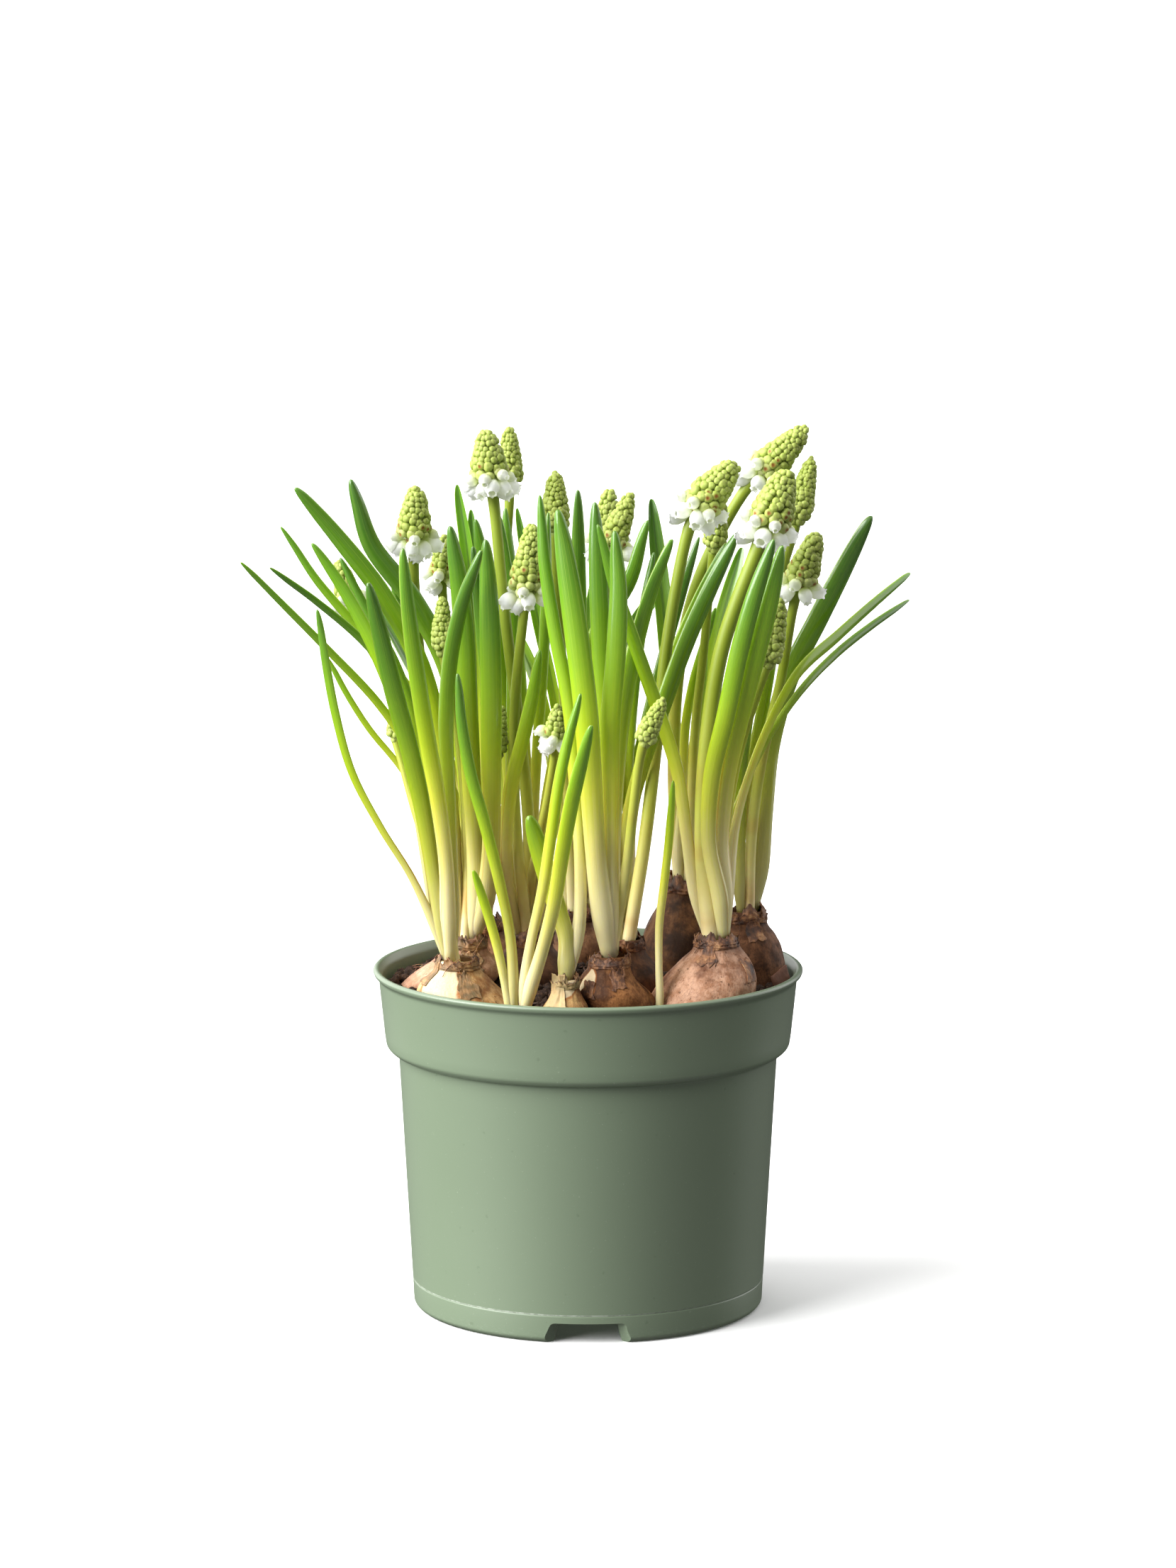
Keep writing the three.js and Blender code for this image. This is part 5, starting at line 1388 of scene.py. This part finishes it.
def torn_ring(surface, plant, layer, seed):
    """A thin shell round the neck; its top is torn low in places and flares where it stands."""
    around, rows = RING_AROUND, RING_ROWS
    angle = np.linspace(0, 2 * np.pi, around, endpoint=False)
    place = np.stack([np.cos(angle) * 6, np.sin(angle) * 6, np.full(around, layer * 3.0)], -1)

    def play(size, step):
        return lumps(place, size, seed + step)

    ragged = play(3.4, 0) * 1.5 + play(1.2, 3) * 0.7 + play(0.4, 4) * 0.4
    low = plant.neck[2] - plant.collar[1] * 0.6 - 0.4 + 0.5 * layer + 0.4 * play(2.6, 6)
    top = np.maximum(plant.neck[2] + 0.5 + np.clip(1.6 * ragged, -2.6, 2.2) - 0.7 * layer, low + 0.4)
    flare = np.clip(0.3 + play(1.5, 8), 0, 1.2) * (0.2 + 0.5 * layer) * smoothstep(top, low, low + 3)
    lean_in = (1.5 - 0.6 * layer) * (0.7 + 0.5 * play(2.4, 9)) * smoothstep(top, low + 2, low + 4)
    part = np.concatenate([np.linspace(0, 1, rows), np.linspace(1, 0, rows)])[:, None]
    skin = np.repeat([RING_OUTSIDE, RING_INSIDE], rows)[:, None]
    z = lerp(low, top, part)
    creases = np.stack(np.broadcast_arrays(place[:, 0] * 1.5, place[:, 1] * 1.5, z / 3), -1)
    off = skin + 0.14 * layer + flare * part**2.5 - lean_in * smoothstep(part, 0.6, 1.0)
    off = off + 0.45 * lumps(creases, 1.0, seed + 12) * part**0.7
    loop = skin_point(plant, z, np.broadcast_to(angle, z.shape), off=off)
    faces = ring_faces(2 * rows + 1, around) % (2 * rows * around)
    surface.add(loop.reshape(-1, 3), faces, rise=np.repeat(part.ravel(), around),
                pale=PALE_RAGS.get(plant.name, 0.0))


print(RING_LAYERS, "torn rings a bulb,", RING_OUTSIDE, "mm off its skin")

# %% [markdown]
# Loose flakes curl off the shoulders of the bulbs in front, where they catch the light, and each bulb
# has a few torn threads.

# %% Flakes and threads
FLAKES = [  # bulb, the way it faces from the front, low and high edge, half width in degrees, curl, seed
    ("01", 18, 94, 100.5, 17, 1.3, 3), ("01", -74, 97, 102.5, 20, 0.9, 8),
    ("02", 8, 97, 102, 24, 0.8, 4), ("04", -34, 94, 103, 34, 1.5, 5),
    ("05", 18, 98, 103.5, 16, 0.7, 6), ("05", -44, 95, 100, 14, 0.9, 9),
    ("08", -16, 103, 107.5, 17, 0.8, 7), ("08", 58, 98, 104, 12, 0.8, 12),
    ("09", 20, 104, 109, 18, 0.8, 11),
]
FLAKE_THICKNESS = 0.16
THREADS, THREAD_RADIUS = 4, 0.10
rag_draw = np.random.default_rng(53)


def sheet(surface, outer, inner, **values):
    """A closed sheet between two grids of points, with its four edges joined."""
    rows, columns = outer.shape[:2]
    at = np.arange(rows * columns).reshape(rows, columns)
    face = np.stack([at[:-1, :-1], at[:-1, 1:], at[1:, 1:], at[1:, :-1]], -1).reshape(-1, 4)
    rim = np.concatenate([at[0], at[1:, -1], at[-1, -2::-1], at[-2:0:-1, 0]])
    after = np.roll(rim, -1)
    side = np.stack([after, rim, rim + at.size, after + at.size], -1)
    spread = {k: np.tile(np.ravel(np.broadcast_to(v, (rows, columns))), 2) for k, v in values.items()}
    surface.add(np.vstack([outer.reshape(-1, 3), inner.reshape(-1, 3)]),
                np.vstack([face, face[:, ::-1] + at.size, side]), **spread)


def flake(surface, plant, toward, low, high, half_width, curl, seed):
    """A loose sheet of tunic on the bulb's shoulder, curling off at its torn edges."""
    u, v = np.meshgrid(np.linspace(-1, 1, 30), np.linspace(0, 1, 24))
    torn = lumps(np.stack([u * 3, v * 4, np.full_like(u, seed)], -1), 1.0, seed)
    angle = math.radians(toward - 90) + u * math.radians(half_width) * (1 + 0.35 * torn * abs(u))
    z = lerp(low, high, v) + 0.8 * torn * (abs(2 * v - 1) ** 2)
    lift = 0.5 * curl * np.maximum(abs(u), 2 * v - 1) ** 4 * np.clip(0.6 + torn, 0.1, 1.4)
    crinkle = 0.12 * lumps(np.stack([u * 9, v * 6, np.full_like(u, seed + 3)], -1), 1.0, seed + 3)
    faces = [skin_point(plant, z, angle, off=0.08 + thick + lift + crinkle)
             for thick in (FLAKE_THICKNESS, 0.0)]
    sheet(surface, *faces, rise=0.35 + 0.5 * (lift > 0.6 * curl), pale=PALE_RAGS.get(plant.name, 0.0))


def thread(surface, plant):
    """A torn thread that wanders up the shoulder and stands off at its end."""
    bend = np.linspace(0, 1, 6) ** 2
    angle, top = rag_draw.uniform(0, 2 * np.pi), plant.neck[2] + rag_draw.uniform(-0.5, 2.0)
    z = np.linspace(plant.neck[2] - plant.collar[1] - rag_draw.uniform(-1.5, 1.5), top, len(bend))
    wander, stand = rag_draw.uniform(-0.7, 0.7), rag_draw.uniform(0, 1.4)
    points = skin_point(plant, z, angle + wander * bend, off=0.4 + stand * bend)
    tube(surface, points, np.full(len(bend), THREAD_RADIUS), 5, rise=0.5, pale=0.0)


for number, plant in enumerate(plants):
    rags = Surface()
    for layer in range(RING_LAYERS):
        torn_ring(rags, plant, layer, RAG_SEED + number * RING_LAYERS + layer)
    for name, *how in FLAKES:
        if name == plant.name:
            flake(rags, plant, *how)
    for _ in range(THREADS):
        thread(rags, plant)
    piece("torn_tunic_" + plant.name, rags, paper_finish, "bulb_skin")
print("torn rings, threads and", len(FLAKES), "flakes")

# %% [markdown]
# ## Pot
# The pot is thin injection-moulded plastic of a soft grey-green. Close to, such plastic is a little
# cloudy, with dust and small scuffs, and a pale line shows near the foot where the mould halves met.
# The line is also a painted highlight: it is painted paler on the left, where the key light falls.

# %% Pot finish
PARTING_HEIGHT = 8.1
pot_finish = Finish("moulded_green_plastic", IOR=1.46, Coat_Roughness=0.34, Coat_IOR=1.42)
f = pot_finish
x, y, z = (f.node("ShaderNodeSeparateXYZ", {}, {0: f.place()}, axis) for axis in range(3))
cloud = f.noise(14.0, 3.0)
dust = f.noise(1500.0, 2.0)
scuff = f.noise(1.0, 3.0, 0.7, f.vector(x * 900.0, y * 900.0, z * 2600.0))
# Painted highlight: the scuffed parting line fades towards the right, away from the key light, so it is
# palest on the lit left side.
scuffs_and_painted_highlight = (0.4 + 0.6 * f.noise(620.0, 2.0).step(0.40, 0.60)) * (1 - 0.8 * (x * 1000).step(-8.0, 26.0))
parting_line_and_highlight = (1 - (abs(z - PARTING_HEIGHT * MM) * 1000).step(0.05, 0.26)) * scuffs_and_painted_highlight
shade = f.mix(cloud, (105, 119, 97), (111, 125, 103))
shade = f.mix(dust.step(0.70, 0.78) * 0.30, shade, (160, 172, 152))
shade = f.mix((f.noise(420.0, 1.0)).step(0.74, 0.8) * 0.3, shade, (78, 92, 70))
shade = f.mix(parting_line_and_highlight * 0.8, shade, (206, 214, 200))
shade = f.mix((1 - (z * 1000).step(0.0, 5.0)) * scuff.step(0.5, 0.8) * 0.25, shade, (190, 200, 184))
f.feed(Base_Color=shade, Roughness=0.36 + 0.08 * cloud + 0.06 * scuff, Coat_Weight=0.35 + 0.10 * cloud,
       Normal=f.relief(cloud * 0.3 + scuff * 0.10 + dust * 0.1, 0.12, 0.5))
print("pot finish made")

# %% [markdown]
# The wall tapers, steps out to the broad collar and ends in a small bead at the lip. It is one outline
# turned about the pot's axis. A moulder's tool has no sharp corners, so each corner is turned into a
# small arc first; a bevel on the finished mesh would have to find the same corners again.

# %% Pot wall
POT_WALL, FLOOR_UNDERSIDE = 1.2, 5.2
POT_OUTSIDE = [(47.4, 0), (48.9, 1.2), (49.2, 7.6), (49.08, 7.9), (49.25, 8.2), (52.9, 72.6), (55.1, 73.2),
               (56.3, 74.4), (56.7, 77), (58.4, 93.4), (59.7, 94.4), (60, 95.4), (59.4, 96)]
POT_INSIDE = [(58.4, 96), (57.2, 94), (55.5, 77), (51.7, 74), (47.7, 6.4)]
FOOT_INSIDE = [(46.4, FLOOR_UNDERSIDE), (45.4, 0)]
POT_AROUND, POT_CORNER = 144, 0.7


def rounded(profile, radius, steps=4):
    """The same outline with its corners turned into small arcs."""
    profile = [np.array(p, float) for p in profile]
    out = [profile[0]]
    for before, corner, after in zip(profile, profile[1:], profile[2:]):
        cut = min(radius, np.linalg.norm(corner - before) * 0.45, np.linalg.norm(after - corner) * 0.45)
        start, end = corner + unit(before - corner) * cut, corner + unit(after - corner) * cut
        for t in np.linspace(0, 1, steps + 1):
            out.append((1 - t) ** 2 * start + 2 * t * (1 - t) * corner + t * t * end)
    return np.array([*out, profile[-1]])


def turned_piece(surface, profile, around):
    """A closed body turned about the pot's axis; the outline starts and ends on the axis."""
    rings = profile[1:-1]
    cosine, sine = circle(around)
    heights = np.broadcast_to(rings[:, 1:], (len(rings), around))
    points = np.stack([rings[:, :1] * cosine, rings[:, :1] * sine, heights], -1)
    surface.add_rings(points, [0, 0, profile[-1][1]], [0, 0, profile[0][1]])


shell = Surface()
wall = [(0, FLOOR_UNDERSIDE), *FOOT_INSIDE, *POT_OUTSIDE, *POT_INSIDE, (0, FLOOR_UNDERSIDE + POT_WALL)]
turned_piece(shell, rounded(wall, POT_CORNER), POT_AROUND)
pot = placed("pot_shell", shell.mesh("pot_shell"))
print("pot wall:", len(pot.data.polygons), "faces before it is cut")

# %% [markdown]
# Notches in the foot ring and holes in the floor let water out. A potter would cut them from the
# finished pot, and so does this cell's exact boolean, with one tool for each cut. A notch is splayed:
# wider at the outside and at the table than it is inside and above.

# %% Notches and drain holes
NOTCHES, NOTCH_START, NOTCH_END, NOTCH_HEIGHT = 3, 42, 50.5, 5.8
NOTCH_INNER, NOTCH_OUTER = (8.8, 12.7), (25, 32)  # widths at the top and at the floor
NOTCH_CORNER = 0.16  # as a share of the notch
DRAIN_HOLES, DRAIN_RING, DRAIN_RADIUS, DRAIN_LOW, DRAIN_HIGH = 4, 32, 4, 4, 8


def prism(name, outline, low, high, place):
    """A cutting tool between two heights over an outline that runs anticlockwise."""
    n = len(outline)
    points = [tuple(place(p, h) * MM) for h in (low, high) for p in outline]
    sides = [[i, (i + 1) % n, n + (i + 1) % n, n + i] for i in range(n)]
    mesh = bpy.data.meshes.new(name)
    mesh.from_pydata(points, [], [[*range(n)][::-1], [*range(n, 2 * n)], *sides])
    return placed(name, mesh)


def splayed(turn):
    """The splayed cut of one notch: p runs from side to side and from the floor to the top."""
    way = np.array([math.cos(turn), math.sin(turn), 0])
    over = np.array([-math.sin(turn), math.cos(turn), 0])

    def place(p, h):
        top, bottom = NOTCH_OUTER if h > NOTCH_START else NOTCH_INNER
        return way * h + over * p[0] * lerp(bottom, top, p[1]) / 2 + np.array([0, 0, p[1] * NOTCH_HEIGHT])

    return place


def upright(turn):
    """The round cut of one drain hole: p runs round the hole."""
    middle = DRAIN_RING * np.array([math.cos(turn), math.sin(turn), 0])
    return lambda p, h: middle + np.array([DRAIN_RADIUS * p[0], DRAIN_RADIUS * p[1], h])


notch = [(0, -0.3), (1, -0.3), (1, 0), (1, 1), (-1, 1), (-1, 0), (-1, -0.3), (0, -0.3)]
notch = rounded(notch, NOTCH_CORNER)[:-1]
hole = list(zip(*circle(24)))
tools = []
for i in range(NOTCHES):
    turn = 2 * math.pi * i / NOTCHES - math.pi / 2
    tools.append(prism(f"notch_{i}", notch, NOTCH_START, NOTCH_END, splayed(turn)))
for i in range(DRAIN_HOLES):
    turn = 2 * math.pi * (i + 0.5) / DRAIN_HOLES
    tools.append(prism(f"drain_{i}", hole, DRAIN_LOW, DRAIN_HIGH, upright(turn)))
for tool in tools:
    cut = pot.modifiers.new(tool.name, "BOOLEAN")
    cut.object, cut.operation, cut.solver = tool, "DIFFERENCE", "EXACT"
finished = bpy.data.meshes.new_from_object(pot.evaluated_get(bpy.context.evaluated_depsgraph_get()))
pot.modifiers.clear()
pot.data = finished
for tool in tools:
    bpy.data.objects.remove(tool)
finished.shade_smooth()
finished.set_sharp_from_angle(angle=math.radians(38))
finished.materials.clear()
dress(pot, pot_finish, ["pot"])
print("pot:", len(finished.polygons), "faces after", len(tools), "cuts")

# %% [markdown]
# ## Soil
# Peaty compost is dark crumbs held together by roots, with straws and flakes of bark on top. Wet peat
# hardly shines, so its finish is rough and nearly without gloss. Straw and bark share one finish that
# runs from dark bark to pale straw.

# %% Soil finishes
soil_finish = Finish("peat", Specular_IOR_Level=0.25)
f = soil_finish
coarse, fine = f.noise(260.0, 4.0, 0.7), f.noise(1400.0, 3.0, 0.6)
crumble = coarse * 0.5 + fine * 0.5
shade = f.ramp(crumble, [(0.3, (22, 15, 12)), (0.5, (52, 36, 28)), (0.68, (92, 66, 48))])
f.feed(Base_Color=shade, Roughness=0.8 + 0.15 * fine, Normal=f.relief(crumble, 1.2, 0.9))

litter_finish = Finish("straw_and_bark")
f = litter_finish
grain = f.noise(800.0, 3.0)
shade = f.ramp(f.point_value("kind"), [
    (0.0, (58, 38, 28)), (0.45, (112, 70, 48)), (0.7, (172, 130, 92)), (1.0, (222, 198, 158)),
])
f.feed(Base_Color=f.mix(grain * 0.5, shade, (44, 28, 20)), Roughness=0.75 + 0.1 * grain,
       Normal=f.relief(grain, 0.2, 0.7))
print("soil and litter finishes made")

# %% [markdown]
# The bed is one turned body that fills the pot, with its top raised in lumps of three sizes. It keeps
# half a millimetre off the wall, so that pot and soil never share a face.

# %% Soil bed
SOIL_LEVEL, SOIL_FOOT, WALL_GAP = 90, 6.8, 0.5
SOIL_LUMPS = ((9.0, 1.3), (3.0, 0.9), (1.2, 0.5))  # how far apart they are and how high


def soil_edge(z):
    inside = np.array(POT_INSIDE)[::-1]
    return np.interp(z, inside[:, 1], inside[:, 0]) - WALL_GAP


radii = np.linspace(0, 1, 70)[1:-1] * soil_edge(SOIL_LEVEL)
wall_heights = np.linspace(7.0, SOIL_LEVEL - 0.5, 24)
profile = np.array([(0, SOIL_FOOT), *[(soil_edge(z), z) for z in wall_heights],
                    *[(r, SOIL_LEVEL) for r in radii[::-1]], (0, SOIL_LEVEL)])
bed = Surface()
turned_piece(bed, profile, 200)
points = bed.points[0]
on_top = points[:, 2] > SOIL_LEVEL - 0.1
height = sum(lumps(points, size, seed) * high for seed, (size, high) in enumerate(SOIL_LUMPS, 1))
points[:, 2] += height * on_top
piece("soil_bed", bed, soil_finish, "soil", "soil")
print("soil bed:", bed.count, "points")

# %% [markdown]
# Loose crumbs are scattered over the bed as real geometry, because they catch the light along the rim
# where the soil can be seen. A place is drawn again until no bulb covers it.

# %% Crumbs
CRUMBS, CRUMB_AROUND = 900, 7
CRUMB_HEIGHTS, CRUMB_WIDTHS = np.array([[-0.6, -0.1, 0.4, 0.75], [0.55, 1.0, 0.85, 0.4]])[..., None]
soil_draw = np.random.default_rng(71)


def free_place(margin):
    """A spot on the soil that no bulb covers."""
    edge = soil_edge(SOIL_LEVEL)
    while True:
        angle, far = soil_draw.uniform(0, 2 * np.pi), edge * math.sqrt(soil_draw.uniform())
        spot = np.array([far * math.cos(angle), far * math.sin(angle)])
        if far > edge - margin:
            continue
        if all(np.linalg.norm(spot - p.at) > p.radius + margin * 0.6 for p in plants):
            return spot


crumbs = Surface()
cosine, sine = circle(CRUMB_AROUND)
for _ in range(CRUMBS):
    size = soil_draw.uniform(0.5, 1.7)
    spot = free_place(size + 0.3)
    uneven = soil_draw.uniform(0.7, 1.3, (4, CRUMB_AROUND))
    wide = CRUMB_WIDTHS * uneven
    rings = np.stack([cosine * wide, sine * wide, CRUMB_HEIGHTS * uneven], -1)
    middle = np.array([*spot, SOIL_LEVEL + 0.9 + soil_draw.uniform(0, 0.8)])
    top, bottom = (np.array([0, 0, h * size]) + middle for h in (0.9, -0.7))
    crumbs.add_rings(rings * size + middle, top, bottom)
piece("soil_crumbs", crumbs, soil_finish, "soil")
print(CRUMBS, "crumbs")

# %% [markdown]
# Straws are thin bent strands, and the one flake of bark that leans on the rim at the right is a
# closed sheet with worn edges.

# %% Straws and bark
STRAWS = 170
BARK_MIDDLE, BARK_WAY_IN = np.array([53.4, -11.5, 94.6]), [-0.9, 0.35, 0.1]
STRAW_TAPER = [1, 1, 1, 1, 1, 0.8, 0.4]
litter = Surface()
for _ in range(STRAWS):
    x, y = free_place(3.5)
    length, angle = soil_draw.uniform(3, 9), soil_draw.uniform(0, 2 * np.pi)
    way = np.array([math.cos(angle), math.sin(angle), 0])
    bend = np.array([-way[1], way[0], 0]) * soil_draw.uniform(-1.5, 1.5)
    start = np.array([x, y, SOIL_LEVEL + soil_draw.uniform(0.6, 2.2)])
    middle = start + way * length * 0.5 + bend + [0, 0, soil_draw.uniform(-0.3, 1.2)]
    end = start + way * length
    if np.linalg.norm(end[:2]) > soil_edge(SOIL_LEVEL) - 1:
        continue
    thick = soil_draw.uniform(0.12, 0.32)
    line = points_along([start, middle, end], np.linspace(0, 1, len(STRAW_TAPER)))
    tube(litter, line, np.full(len(STRAW_TAPER), thick) * STRAW_TAPER, 6, kind=soil_draw.uniform() ** 2)
u, v = np.meshgrid(np.linspace(-1, 1, 14), np.linspace(-1, 1, 10))
rough = lumps(np.stack([u * 2, v * 2, u * 0], -1), 1.0, 5)
u, v, rough = u[..., None], v[..., None], rough[..., None]
bark = BARK_MIDDLE + u * [2.2, 3.0, 1.1] + v * [-0.6, 0.4, 2.3] + rough * [0, 0, 0.3]
thickness = (0.6 + 0.25 * rough) * np.clip(1.25 - np.maximum(abs(u), abs(v)) ** 6, 0.25, 1)
half = thickness * BARK_WAY_IN
sheet(litter, bark + half, bark - half, kind=0.42)
piece("soil_litter", litter, litter_finish, "soil")
print("litter:", litter.count, "points")
